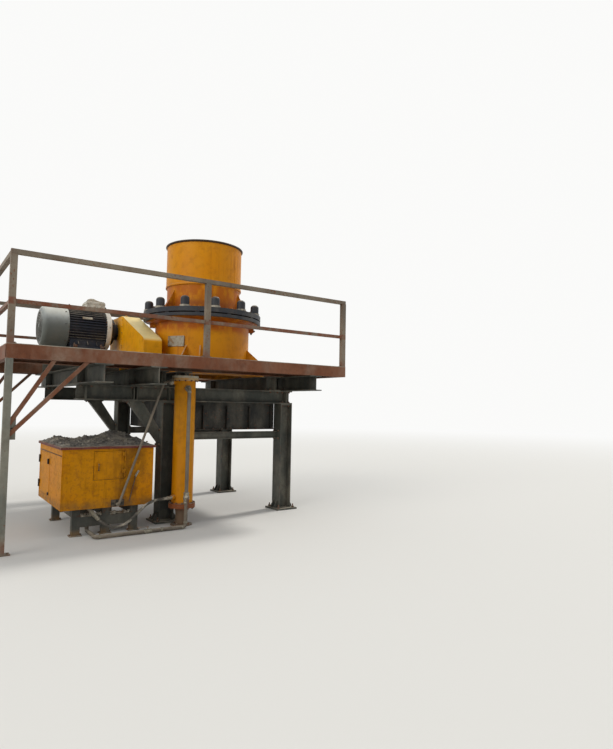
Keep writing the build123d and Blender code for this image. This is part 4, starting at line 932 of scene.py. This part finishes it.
for side in (-1, 1):
    x, y = side * half_long, side * half_high
    add_block(plate_rim, (-half_long, y, rim_back), (half_long, y - side * rim_width, rim_front), 0.001)
    add_block(plate_rim, (x, -half_high, rim_back), (x - side * rim_width, half_high, rim_front), 0.001)
rivet = [(0.006, 0.0), (0.005, 0.0025), (0.003, 0.004), (0.0, 0.0045)]
for x, y in four_about(0, 0, half_long - rivet_inset, half_high - rivet_inset):
    add_turned(plate_rim, rivet, (x, y, 0.0), up, 12)
bmesh.ops.transform(plate_rim, matrix=plate_place, verts=plate_rim.verts)
fit_piece(plate_rim, "nameplate_edge", plate_finish)


# Belt guard: a closed box of folded sheet steel with a rolled front edge, lemon-yellow, with painted sunlight
# on its slope. It is made in two halves, joined by a seam strip with cap screws, and has a bolted door.
guard_paint = weathered_paint(
    "guard_paint", (224, 152, 2), (226, 160, 10), (150, 98, 10),
    rust=0.12, dust=0.2, stains=0.45, film=0.03, gloss=0.45, edges=0.4, shine=0.15, painted_sunlight=(246, 228, 160),
    bands=(("Z", 2.15, 2.30, 0.05, (128, 84, 28), 0.8),),
)
repaint(guard_paint, "belt_guard")
guard_left_x, guard_right_x, guard_back_y = guard_low[0], guard_high[0], 1.36
guard_trim = bmesh.new()
for x, way in ((guard_left_x, -1), (guard_right_x, 1)):
    add_block(guard_trim, (x, 0.655, 2.20), (x + way * 0.004, 0.705, 3.17), 0.0015)
guard_places = [((guard_left_x - 0.004, 0.680, z), left) for z in spaced(2.25, 3.13, 9)]
door_y, panel_y = guard_back_y + 0.006, guard_back_y + 0.009
add_block(guard_trim, (guard_left_x + 0.03, guard_back_y, 2.32), (guard_right_x - 0.03, door_y, 2.98), 0.002)
add_block(guard_trim, (guard_left_x + 0.05, door_y, 2.34), (guard_right_x - 0.05, panel_y, 2.96), 0.0015)
for z in spaced(2.35, 2.95, 5):
    guard_places += [((x, door_y, z), back) for x in (guard_left_x + 0.04, guard_right_x - 0.04)]
flange_low_z, flange_top_z, flange_places = 2.182, 2.190, []
for y, out in ((-0.43, -1), (guard_back_y, 1)):
    flange_end = (guard_right_x, y + out * 0.05, flange_top_z)
    add_block(guard_trim, (guard_left_x, y, flange_low_z), flange_end, 0.0015)
    for x in (guard_left_x + 0.06, guard_right_x - 0.06):
        flange_places.append(((x, y + out * 0.027, flange_top_z), up))


def add_ring(shape, radius, wire, centre, axis, sides, facets=8):
    """A ring of round wire about an axis."""
    turns = [step * 2 * math.pi / facets for step in range(facets + 1)]
    add_turned(shape, [(radius + wire * math.cos(a), wire * math.sin(a)) for a in turns], centre, axis, sides)


eye_x, eye_seat = (guard_left_x + guard_right_x) / 2, [(0.0, 0.0), (0.016, 0.0), (0.012, 0.006), (0.0, 0.006)]
for y in (0.95, 1.22):
    add_ring(guard_trim, 0.024, 0.006, (eye_x, y, 3.226), back, 24)
    add_turned(guard_trim, eye_seat, (eye_x, y, 3.199), up, 12)
fit_piece(guard_trim, "belt_guard_trim", guard_paint)
guard_screw = bolt_pattern(0.013)
fit_bolts("belt_guard_screws", "guard_paint", (guard_screw, guard_places), (plate_bolt, flange_places))

# Motor: a finned grey-iron frame in dark slate enamel, with a rolled sheet-steel fan cowl in light
# grey, a pale end flange and a black bearing bell. Dust lies in the fins and runs down the cowl.
motor_slate = weathered_paint(
    "motor_slate", (32, 38, 52), (46, 52, 66), (26, 28, 34),
    rust=0.06, dust=0.8, stains=0.3, film=0.16, gloss=0.45, edges=0.3,
)
# The cowl's top is lightened with painted sunlight, and its lower part darkened to a plain grey as painted
# shade.
cowl_grey = weathered_paint(
    "cowl_grey", (138, 144, 144), (156, 160, 157), (104, 100, 90),
    rust=0.06, dust=0.3, stains=0.5, film=0.12, gloss=0.42, edges=0.25, painted_sunlight=(214, 216, 208),
    bands=(("Z", 2.5, 3.02, 0.10, (104, 108, 104), 1.0),),
)
shield_grey = weathered_paint(
    "shield_grey", (214, 212, 204), (224, 221, 211), (150, 140, 124),
    rust=0.08, dust=0.3, stains=0.3, film=0.08, gloss=0.45, edges=0.3,
    bands=(("X", -0.5095, -0.30, 0.0006, (42, 42, 44), 1.0),),
)
repaint(motor_slate, "motor_body")
repaint(cowl_grey, "motor_fan_cowl")
repaint(shield_grey, "motor_end_shield")
motor_y, axis_z = 1.05, 2.95
cowl_left_x, body_left_x, shield_left_x, bell_left_x = -1.60, -1.20, -0.59, -0.51


def on_axis(x, radius, count, first=0.0):
    """Evenly spaced spots on a circle about the motor's axis, each with its way outwards."""
    ways = [math.radians(first + step * 360 / count) for step in range(count)]
    ways = [Vector((0, math.cos(angle), math.sin(angle))) for angle in ways]
    return [(Vector((x, motor_y, axis_z)) + radius * way, way) for way in ways]


def add_rod(shape, foot, direction, radius, length, sides=12):
    """A straight round bar that starts at its foot."""
    add_turned(shape, [(0.0, 0.0), (radius, 0.0), (radius, length), (0.0, length)], foot, direction, sides)


def add_washer(shape, inner, outer, thickness, foot, direction, sides):
    """A flat ring that lies on its foot."""
    outline = [(inner, 0.0), (outer, 0.0), (outer, thickness), (inner, thickness), (inner, 0.0)]
    add_turned(shape, outline, foot, direction, sides)


cowl_middle = (cowl_left_x, motor_y, axis_z)
hub_disc = [(0.0, 0.008), (0.03, 0.008), (0.036, 0.004), (0.038, 0.0), (0.0, 0.0)]
grille = bmesh.new()
for radius in (0.055, 0.100, 0.145, 0.190, 0.235):
    add_ring(grille, radius, 0.0035, (cowl_left_x - 0.004, motor_y, axis_z), left, 48, facets=6)
for spot, way in on_axis(cowl_left_x - 0.002, 0.035, 8, 22.5):
    add_rod(grille, spot, way, 0.004, 0.212, 6)
add_turned(grille, hub_disc, cowl_middle, left, 24)
add_washer(grille, 0.247, 0.262, 0.006, cowl_middle, left, 60)
fit_piece(grille, "fan_cowl_grille", cowl_grey)
# A thin dark disc behind the grille is painted shade for the cowl's shaded opening; the pale patches on it
# are dust.
shaded_intake_finish = clouded_finish("fan_intake_painted_shade", 0.85, 0.0, (58, 58, 56), [((0.05, 0.4, 0.7), (104, 98, 88))])
intake = bmesh.new()
add_washer(intake, 0.040, 0.247, 0.0012, cowl_middle, left, 60)
fit_piece(intake, "intake_shade_disc", shaded_intake_finish)

cowl_trim = bmesh.new()
cowl_band = [(0.340, 0.0), (0.3425, 0.002), (0.3425, 0.020), (0.340, 0.022), (0.338, 0.022), (0.338, 0.0)]
add_turned(cowl_trim, [*cowl_band, cowl_band[0]], (body_left_x - 0.026, motor_y, axis_z), right, 72)
seam_low = (cowl_left_x + 0.08, motor_y + 0.3395, axis_z - 0.008)
add_block(cowl_trim, seam_low, (body_left_x - 0.03, motor_y + 0.3425, axis_z + 0.008), 0.001)
fit_piece(cowl_trim, "fan_cowl_band", cowl_grey)
motor_screws = bmesh.new()
for across_flats, washer, ring, way in (
    (0.018, True, on_axis(body_left_x - 0.045, 0.339, 4, 45), None),
    (0.024, True, on_axis(shield_left_x, 0.316, 8, 22.5), left),
    (0.022, True, on_axis(bell_left_x, 0.300, 8, 22.5), right),
    (0.014, False, on_axis(-0.455, 0.2245, 6, 30), None),
):
    stamp(motor_screws, bolt_pattern(across_flats, washer=washer), [(spot, way or out) for spot, out in ring])
fit_piece(motor_screws, "motor_screws", bolt_steel)

# Lifting eyes, grease nipples and the ribs cast between the motor's feet and its frame, whose outer
# ends slope down to the foot.
motor_foot_z, rib_high_z, rib_low_z = 2.64, 2.725, 2.662
eye_foot = [(0.0, 0.0), (0.026, 0.0), (0.026, 0.006), (0.016, 0.012), (0.0, 0.014)]
nipple = [(0.0, 0.0), (0.006, 0.0), (0.006, 0.012), (0.004, 0.018), (0.0, 0.020)]
motor_trim = bmesh.new()
for x, z in ((-1.15, 3.283), (-0.55, 3.291)):
    add_ring(motor_trim, 0.030, 0.009, (x, motor_y, z + 0.045), right, 28)
    add_turned(motor_trim, eye_foot, (x, motor_y, z - 0.002), up, 20)
for x in (-0.55, -1.26):
    add_turned(motor_trim, nipple, (x, motor_y - 0.337, axis_z + 0.03), (0, -1, 0.1), 10)
for side in (-1, 1):
    for x in (-1.04, -0.895, -0.75):
        low = (x - 0.007, motor_y + side * 0.250, motor_foot_z)
        add_block(motor_trim, low, (x + 0.007, motor_y + side * 0.318, rib_high_z), 0.002)
for corner in motor_trim.verts:
    if 2.70 < corner.co.z < 2.73 and abs(corner.co.y - motor_y) > 0.30:
        corner.co.z = rib_low_z
fit_piece(motor_trim, "motor_eyes_and_ribs", motor_slate)

# The motor is bolted down to two slide rails that lie across its pedestal. A jacking screw at each end
# of a rail shifts it to tighten the belts.
slide_rows, jack_z, rail_foot_z = (-1.11, -0.68), 2.622, 2.484
foot_bolt, rail_bolt = bolt_pattern(0.036, shank_stand=0.022), bolt_pattern(0.020)
jack, jack_nut = [(0.0, 0.0), (0.011, 0.0), (0.011, 0.085), (0.0, 0.087)], bolt_pattern(0.026, washer=False)
foot_bolts = bmesh.new()
for x in slide_rows:
    for side in (-1, 1):
        end_y, way = motor_y + side * 0.38, (0, side, 0)
        stamp(foot_bolts, foot_bolt, [((x, motor_y + side * 0.305, motor_foot_z), up)])
        add_block(foot_bolts, (x - 0.03, end_y - 0.009, 2.595), (x + 0.03, end_y + 0.009, 2.645), 0.002)
        add_turned(foot_bolts, jack, (x, end_y - side * 0.02, jack_z), way, 12)
        stamp(foot_bolts, jack_nut, [((x, end_y + side * 0.045, jack_z), way)])
        for bolt_x, bolt_y in four_about(x, motor_y + side * 0.29, 0.035, 0.06):
            stamp(foot_bolts, rail_bolt, [((bolt_x, bolt_y, rail_foot_z), down)])
fit_piece(foot_bolts, "motor_mounting_bolts", bolt_steel)

# The motor's rating plate is a bare strip of aluminium riveted across the tips of its fins, high on
# the front side. It carries no writing.
rating_turn, fin_radius = math.radians(151.5), 0.335
rating_y, rating_z = motor_y + fin_radius * math.cos(rating_turn), axis_z + fin_radius * math.sin(rating_turn)
rating_place = (
    Matrix.Translation((-0.915, rating_y, rating_z)) @ Matrix.Rotation(rating_turn - math.pi / 2, 4, "X")
)
rating_plate = bmesh.new()
add_block(rating_plate, (-0.08, -0.022, -0.002), (0.08, 0.022, 0.002), 0.0008)
for x in (-0.072, 0.072):
    add_turned(rating_plate, [(0.005, 0.001), (0.004, 0.004), (0.0, 0.005)], (x, 0, 0), up, 12)
bmesh.ops.transform(rating_plate, matrix=rating_place, verts=rating_plate.verts)
fit_piece(rating_plate, "motor_rating_plate", plate_finish)

# Terminal box: a cast box on the motor's back, its lid held by six screws over a gasket, with a
# blanked cable gland. Grit and dust from the feed have piled up on it.
terminal_grey = weathered_paint(
    "terminal_grey", (188, 184, 172), (206, 200, 186), (122, 112, 96),
    rust=0.1, dust=0.9, stains=0.4, film=0.4, gloss=0.5, edges=0.3,
)
repaint(terminal_grey, "terminal_box")
terminal_low, terminal_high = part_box("terminal_box")
seam_z, lip = terminal_high[2] - 0.045, 0.006
lip_low = (terminal_low[0] - lip, terminal_low[1] - lip, seam_z - lip)
lip_high = (terminal_high[0] + lip, terminal_high[1] + lip, seam_z + lip)
gland = [
    (0.0, 0.0), (0.034, 0.0), (0.034, 0.012), (0.028, 0.014), (0.028, 0.034), (0.018, 0.040), (0.0, 0.040),
]
terminal_trim = bmesh.new()
add_block(terminal_trim, lip_low, lip_high, 0.002)
for gland_x in (terminal_low[0] + 0.1, terminal_low[0] + 0.2):
    add_turned(terminal_trim, gland, (gland_x, terminal_low[1], terminal_low[2] + 0.05), front, 6)
fit_piece(terminal_trim, "terminal_box_trim", terminal_grey)
fit_bolts("terminal_box_screws", "motor_dark", (bolt_pattern(0.014), [
    ((x, y, terminal_high[2]), up)
    for x in (terminal_low[0] + 0.05, terminal_high[0] - 0.05)
    for y in (terminal_low[1] + 0.045, motor_y, terminal_high[1] - 0.045)
]))


def heap_height(peaks, x, y):
    """How high a heap stands at a spot, as the highest of its soft peaks."""
    return max(
        height * math.exp(-((x - px) / wide_x) ** 2 - ((y - py) / wide_y) ** 2)
        for px, py, wide_x, wide_y, height in peaks
    )


def top_zone(low, high, inset):
    """The level top of a box inside a strip along its edges, as its x and y ends."""
    return low[0] + inset, high[0] - inset, low[1] + inset, high[1] - inset


def heap(shape, zone, floor_z, peaks, cells, chance, rough=0.006):
    """A heap of dust and grit on a level zone, its height the highest of several soft peaks."""
    bmesh.ops.create_grid(shape, x_segments=cells[0], y_segments=cells[1], size=0.5)
    x0, x1, y0, y1 = zone
    for corner in shape.verts:
        across_x, across_y = corner.co.x + 0.5, corner.co.y + 0.5
        rim = min(across_x, 1 - across_x, across_y, 1 - across_y)
        x, y = x0 + across_x * (x1 - x0), y0 + across_y * (y1 - y0)
        lift = heap_height(peaks, x, y) * min(1.0, rim / 0.06)
        lift += rough * chance.random() if rim > 0.02 else -0.004
        corner.co = Vector((x, y, floor_z + lift))


terminal_heap = bmesh.new()
terminal_peaks = ((-0.80, 0.98, 0.09, 0.09, 0.050), (-0.69, 1.10, 0.08, 0.08, 0.040))
terminal_zone = top_zone(terminal_low, terminal_high, 0.012)
heap(terminal_heap, terminal_zone, terminal_high[2], terminal_peaks, (26, 22), chance)
fit_piece(terminal_heap, "terminal_box_dust", dust_finish, soft_edge=60)
terminal_grit = bmesh.new()
grit_zone = (terminal_low[0] + 0.04, terminal_high[0] - 0.04, 0.92, 1.18)
strew(terminal_grit, 46, grit_zone, terminal_high[2] + 0.012, (0.005, 0.018), chance)
strew(terminal_grit, 10, (-1.05, -0.98, 0.98, 1.12), 3.286, (0.004, 0.011), chance)
fit_piece(terminal_grit, "terminal_box_grit", stone_finish, soft_edge=20)


# Oil station: a cabinet of 5 mm folded sheet steel, welded at its corners and enamelled in the crusher's
# orange, with a hatch and a side door. Oil has run down its front, and mud has splashed over its foot.
oil_brown, mud_splash = (92, 60, 20), (118, 88, 50)
station_paint = weathered_paint(
    "station_paint", (194, 122, 2), (194, 128, 6), (112, 66, 6),
    rust=0.2, dust=0.6, stains=0.5, film=0.02, gloss=0.5, edges=0.35, shine=0.08,
    bands=(
        ("X", -1.05, -0.66, 0.12, oil_brown, 0.6), ("Z", 0.33, 0.43, 0.06, mud_splash, 0.75),
        ("Z", 0.1, 0.3445, 0.0004, (128, 120, 104), 1.0),
        ("X", -1.80, -1.7045, 0.0005, (58, 46, 34), 1.0),
    ),
)
repaint(station_paint, "station_cabinet", "front_hatch", "side_door")
cabinet_front, cabinet_back, cabinet_left, cabinet_right = -1.50, -0.10, -1.70, -0.54
lid_low, lid_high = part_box("station_lid")
lid_edge_z = 1.122
cabinet_trim = bmesh.new()
drip_low = (cabinet_left - 0.006, cabinet_front + 0.006, 1.016)
add_block(cabinet_trim, drip_low, (cabinet_left + 0.001, cabinet_back - 0.006, 1.028), 0.0018)
for x in (cabinet_left, cabinet_right):
    for y in (cabinet_front, cabinet_back):
        add_rod(cabinet_trim, (x, y, 0.349), up, 0.0045, 0.752, 10)
fit_piece(cabinet_trim, "cabinet_trim", station_paint)
cabinet_places = []
edge_rows = spaced(lid_low[0] + 0.09, lid_high[0] - 0.09, 7), spaced(lid_low[1] + 0.1, lid_high[1] - 0.1, 7)
for x, y in zip(*edge_rows):
    cabinet_places += [((x, lid_low[1], lid_edge_z), front), ((x, lid_high[1], lid_edge_z), back)]
    cabinet_places += [((lid_low[0], y, lid_edge_z), left), ((lid_high[0], y, lid_edge_z), right)]

# A rubber plate seals the place where the feed pipe enters the cabinet, and a strap of bare steel
# holds the thin drain line that runs down the front beside it.
entry_rubber = clouded_finish("entry_rubber", 0.75, 0.0, (30, 27, 23), [((0.05, 0.42, 0.66), (92, 80, 64))])
entry_x, entry_z, entry_out_y = -1.0, 0.395, cabinet_front - 0.005
pipe_entry = bmesh.new()
entry_low, entry_high = (entry_x - 0.085, entry_out_y, 0.350), (entry_x + 0.085, cabinet_front + 0.001, 0.440)
add_block(pipe_entry, entry_low, entry_high, 0.002)
fit_piece(pipe_entry, "pipe_entry_plate", entry_rubber)
cabinet_places += [((x, entry_out_y, z), front) for x, z in four_about(entry_x, entry_z, 0.073, 0.033)]
drain_line = bmesh.new()
drain_top, drain_foot = Vector((-0.771, -1.5075, 0.745)), Vector((-0.851, -1.5075, 0.400))
add_rod(drain_line, drain_top, drain_foot - drain_top, 0.006, (drain_foot - drain_top).length)
fit_piece(drain_line, "drain_line", bolt_steel)
strap = bmesh.new()
add_block(strap, (-0.045, -0.013, 0.0), (0.045, 0.013, 0.016), 0.002)
strap_turn = Matrix.Rotation(math.radians(-60), 4, "Y") @ Matrix.Rotation(math.pi / 2, 4, "X")
strap_place = Matrix.Translation((-0.757, cabinet_front, 0.765)) @ strap_turn
bmesh.ops.transform(strap, matrix=strap_place, verts=strap.verts)
fit_piece(strap, "drain_line_strap", steel_finish)
fit_bolts("cabinet_screws", "station_paint", (bolt_pattern(0.010, washer=False), cabinet_places))


# The hatch has a pressed border and a riveted handle, the side door a pressed border and a black turn
# latch at its foot. They move with the sheet that they are fixed to.
def fit_border(name, sheet, low, high, axis, outer, inner):
    """The border pressed round a sheet that looks along an axis, from its low to its high corner."""
    border, width = bmesh.new(), 0.006
    for start, end in (
        (low, (high[0], low[1] + width)), ((low[0], high[1] - width), high),
        (low, (low[0] + width, high[1])), ((high[0] - width, low[1]), high),
    ):
        corner, opposite = list(start), list(end)
        corner.insert(axis, outer)
        opposite.insert(axis, inner)
        add_block(border, corner, opposite, 0.001)
    fit_piece(border, name, station_paint, body=sheet)


fit_border("hatch_border", "front_hatch", (-1.300, 0.723), (-0.950, 1.053), 1, -1.502, -1.4995)
hatch_grip = bmesh.new()
grip_x, grip_out_y, grip_low_z, grip_high_z = -1.260, -1.522, 0.831, 0.905
for z in (grip_high_z, grip_low_z):
    add_turned(hatch_grip, [(0.010, 0.0), (0.009, 0.004), (0.0, 0.005)], (grip_x, grip_out_y, z), front, 16)
grip_low = (grip_x - 0.0055, grip_out_y - 0.0035, grip_low_z + 0.007)
add_block(hatch_grip, grip_low, (grip_x + 0.0055, grip_out_y + 0.0005, grip_high_z - 0.007), 0.0012)
fit_piece(hatch_grip, "hatch_handle_inset", entry_rubber, body="front_hatch")
fit_border("side_door_border", "side_door", (-0.770, 0.445), (-0.150, 0.985), 0, -1.702, -1.6995)
door_latch = bmesh.new()
latch_y, latch_z = -0.735, 0.462
latch_disc = [(0.022, 0.0), (0.022, 0.008), (0.016, 0.012), (0.0, 0.012)]
add_turned(door_latch, latch_disc, (cabinet_left, latch_y, latch_z), left, 20)
knob_low = (cabinet_left - 0.017, latch_y - 0.005, latch_z - 0.018)
add_block(door_latch, knob_low, (cabinet_left - 0.010, latch_y + 0.005, latch_z + 0.018), 0.0015)
fit_piece(door_latch, "side_door_latch", entry_rubber, body="side_door")

# Lid: a thick plate in maroon primer, its edge chipped. Dark crushed stone and dust have been left
# lying on it in a long heap, highest behind the middle.
lid_paint = weathered_paint(
    "lid_primer", (88, 34, 34), (104, 48, 42), (46, 24, 22),
    rust=0.4, dust=0.8, stains=0.4, film=0.18, gloss=0.6,
)
repaint(lid_paint, "station_lid")
gravel_finish = clouded_finish(
    "dark_gravel", 0.92, 0.0, (100, 97, 94),
    [((0.035, 0.35, 0.65, 0, 8), (142, 137, 129)), ((0.18, 0.46, 0.64, 6), (166, 158, 144))],
    dents=((0.02, 0.25, 0.75, 2, 8), 0.014),
)
lid_heap = bmesh.new()
lid_peaks = (
    (-0.82, -0.62, 0.30, 0.34, 0.150), (-1.12, -0.70, 0.34, 0.34, 0.085), (-1.56, -0.56, 0.16, 0.34, 0.075),
    (-0.66, -1.05, 0.20, 0.30, 0.070), (-1.30, -1.15, 0.50, 0.30, 0.045), (-1.1, -0.8, 1.0, 1.2, 0.020),
)
heap(lid_heap, top_zone(lid_low, lid_high, 0.02), lid_high[2], lid_peaks, (74, 88), chance, rough=0.011)
fit_piece(lid_heap, "lid_gravel_heap", gravel_finish, soft_edge=50)
lid_stones, lid_chips = bmesh.new(), bmesh.new()
for step in range(360):
    x = chance.uniform(lid_low[0] + 0.06, lid_high[0] - 0.06)
    y = chance.uniform(lid_low[1] + 0.05, lid_high[1] - 0.06)
    pile, sizes = (lid_stones, (0.008, 0.032)) if step % 4 else (lid_chips, (0.006, 0.020))
    strew(pile, 1, (x, x, y, y), lid_high[2] + heap_height(lid_peaks, x, y) + 0.003, sizes, chance)
fit_piece(lid_stones, "lid_dark_stones", gravel_finish, soft_edge=20)
fit_piece(lid_chips, "lid_pale_stones", stone_finish, soft_edge=20)

# Skid: two box beams on short legs, in grey-green paint nearly hidden by dust, with rubble lying on
# the front beam along the cabinet's foot.
skid_paint = weathered_paint(
    "skid_paint", (64, 65, 60), (82, 81, 74), (46, 42, 36),
    rust=0.3, dust=0.85, stains=0.4, film=0.25, gloss=0.65,
    bands=(("Z", -0.05, 0.06, 0.04, mud_splash, 0.8),),
)
repaint(skid_paint, "station_skid")
skid_plates = bmesh.new()
skid_places = []
for x in (-1.49, -1.12, -0.75):
    for y, out in ((-1.38, -1), (-0.22, 1)):
        add_block(skid_plates, (x - 0.075, y - 0.06, 0.0), (x + 0.075, y + 0.06, 0.010), 0.002)
        skid_places += [((x + step, y, 0.010), up) for step in (-0.063, 0.063)]
        lug_end = (x + 0.045, y + out * 0.046, 0.338)
        add_block(skid_plates, (x - 0.045, y + out * 0.04, 0.242), lug_end, 0.0015)
fit_piece(skid_plates, "skid_plates", skid_paint)
fit_bolts("skid_bolts", "skid_steel", (plate_bolt, skid_places))
skid_rubble = bmesh.new()
for x0, x1 in ((-1.53, -1.45), (-1.43, -1.18), (-1.06, -0.81), (-0.79, -0.71)):
    length = x1 - x0
    strew(skid_rubble, round(170 * length), (x0, x1, -1.408, -1.350), 0.240, (0.008, 0.030), chance)
    strew(skid_rubble, round(110 * length), (x0, x1, -1.395, -1.360), 0.262, (0.010, 0.030), chance, sunk=0.1)
fit_piece(skid_rubble, "skid_rubble", stone_finish, soft_edge=20)

# Oil cooler: an upright tube of orange enamelled steel between bolted flanges, on a rusty neck.
# The cover plate on top is white with dust, and so are its bolts.
cooler_paint = weathered_paint(
    "cooler_paint", (196, 124, 2), (198, 132, 6), (120, 68, 8),
    rust=0.2, dust=0.7, stains=0.35, film=0.02, gloss=0.45, edges=0.4, shine=0.15,
    bands=(
        ("Z", 0.0, 0.318, 0.012, (128, 72, 40), 1.0), ("Z", -0.1, 0.22, 0.03, (106, 86, 68), 1.0),
        ("Z", 2.030, 2.10, 0.004, (176, 160, 128), 0.8),
    ),
)
cap_paint = weathered_paint(
    "cooler_cap_plate", (176, 167, 146), (200, 192, 172), (104, 78, 50),
    rust=0.3, dust=0.95, stains=0.4, film=0.4, gloss=0.7,
)
repaint(cooler_paint, "oil_cooler")
repaint(cap_paint, "cooler_cap")
cooler_x, cooler_y, tube_radius = -0.07, -1.42, 0.148
head_top_z, head_low_z, foot_high_z, foot_low_z = 2.102, 2.042, 0.31, 0.25
cooler_bolt = bolt_pattern(0.022, shank_stand=0.006)
fit_bolts(
    "cooler_flange_bolts", "station_paint",
    *(
        (cooler_bolt, [(spot, way) for spot, angle in around(0.1665, z, 12, 7.5, (cooler_x, cooler_y))])
        for z, way in ((head_top_z, up), (head_low_z, down), (foot_high_z, up), (foot_low_z, down))
    ),
    (cooler_bolt, [(spot, up) for spot, angle in around(0.115, 0.015, 4, 33, (cooler_x, cooler_y))]),
)
cooler_trim = bmesh.new()
for z, height in ((foot_high_z, 0.008), (head_low_z, -0.008)):
    add_bead(cooler_trim, (cooler_x, cooler_y, z), tube_radius, height, lean=0.4, sides=64)
seam_angle, seam_radius = math.radians(-62), tube_radius - 0.001
seam_x, seam_y = cooler_x + seam_radius * math.cos(seam_angle), cooler_y + seam_radius * math.sin(seam_angle)
add_rod(cooler_trim, (seam_x, seam_y, 0.33), up, 0.0032, 1.68, 8)
joint_bead = [(0.186, 0.0), (0.1872, 0.001), (0.1872, 0.003), (0.186, 0.004), (0.183, 0.004), (0.183, 0.0)]
add_turned(cooler_trim, [*joint_bead, joint_bead[0]], (cooler_x, cooler_y, 0.278), up, 64)
fit_piece(cooler_trim, "cooler_weld_seams", cooler_paint)
air_bleed = bmesh.new()
bleed_plug = [
    (0.0, 0.0), (0.022, 0.0), (0.022, 0.010), (0.014, 0.012), (0.014, 0.030), (0.006, 0.034), (0.0, 0.034),
]
add_turned(air_bleed, bleed_plug, (cooler_x, cooler_y, head_top_z), up, 6)
fit_piece(air_bleed, "cooler_air_bleed", steel_finish)

# Oil pipes: steel tube, brown-grey under dust, with swivel nuts at the cooler's ports, screwed elbows
# at the foot, and two ball valves of plated steel, one on the upright and one on the ground run.
pipe_paint = weathered_paint(
    "pipe_steel", (96, 89, 79), (122, 112, 98), (76, 56, 40),
    rust=0.3, dust=0.6, stains=0.3, film=0.25, gloss=0.55, edges=0.2,
)
repaint(pipe_paint, "cooler_pipes")
pipe_x, pipe_y, pipe_z, upright_valve_z, ground_valve_x = -0.1321, -1.712, 0.030, 0.42, -0.66
outlet_turn, port_out = math.radians(258), 0.198
outlet_way = Vector((math.cos(outlet_turn), math.sin(outlet_turn), 0))
outlet_port = Vector((cooler_x, cooler_y, 1.922)) + port_out * outlet_way
nut_foot = [(0.043, -0.012), (0.047, -0.008)]
port_nut = [(0.024, -0.012), *nut_foot, (0.047, 0.026), (0.043, 0.030), (0.030, 0.040), (0.024, 0.040)]
feed_nut = [(0.015, -0.012), *nut_foot, (0.047, 0.020), (0.030, 0.034), (0.020, 0.040), (0.015, 0.040)]
entry_nut = [(0.015, 0.0), (0.024, 0.0), (0.026, 0.004), (0.026, 0.024), (0.015, 0.030)]
collar = [(0.0245, 0.0), (0.0285, 0.0), (0.0295, 0.002), (0.0295, 0.020), (0.0285, 0.022), (0.0245, 0.022)]
pipe_fittings = bmesh.new()
add_turned(pipe_fittings, port_nut, outlet_port, outlet_way, 6)
add_turned(pipe_fittings, feed_nut, (cooler_x - port_out, cooler_y, 2.012), left, 6)
add_turned(pipe_fittings, entry_nut, (entry_x, entry_out_y, 0.380), front, 6)
for foot, way in (
    ((pipe_x, pipe_y, 0.080), up), ((pipe_x, pipe_y, 1.862), up), ((pipe_x - 0.036, pipe_y, pipe_z), left),
    ((-0.46, pipe_y, pipe_z), left), ((-1.262, pipe_y, pipe_z), left),
    ((-1.32, pipe_y + 0.036, pipe_z), back),
):
    add_turned(pipe_fittings, collar, foot, way, 24)
for foot, way, half_body, stem_way, stem_radius, stem_foot, stem_top in (
    (
        (pipe_x, pipe_y, upright_valve_z), up,
        [(0.0245, 0.075), (0.038, 0.075), (0.038, 0.047), (0.031, 0.042), (0.043, 0.018)],
        front, 0.011, 0.030, 0.066,
    ),
    (
        (ground_valve_x, pipe_y, pipe_z), right,
        [(0.0245, 0.050), (0.0292, 0.050), (0.0292, 0.022), (0.0265, 0.018), (0.0295, 0.006)],
        up, 0.009, 0.020, 0.058,
    ),
):
    add_turned(pipe_fittings, [(radius, -out) for radius, out in half_body] + half_body[::-1], foot, way, 24)
    stem = [(0.0, stem_foot), (stem_radius, stem_foot), (stem_radius, stem_top), (0.0, stem_top + 0.004)]
    add_turned(pipe_fittings, stem, foot, stem_way, 12)
fit_piece(pipe_fittings, "pipe_fittings", steel_finish)
valve_levers = bmesh.new()
lever_low = (pipe_x - 0.012, pipe_y - 0.068, upright_valve_z - 0.14)
add_block(valve_levers, lever_low, (pipe_x + 0.012, pipe_y - 0.062, upright_valve_z + 0.015), 0.0015)
lever_low = (ground_valve_x - 0.14, pipe_y - 0.010, 0.084)
add_block(valve_levers, lever_low, (ground_valve_x + 0.012, pipe_y + 0.010, 0.090), 0.0015)
fit_piece(valve_levers, "valve_levers", bolt_steel)
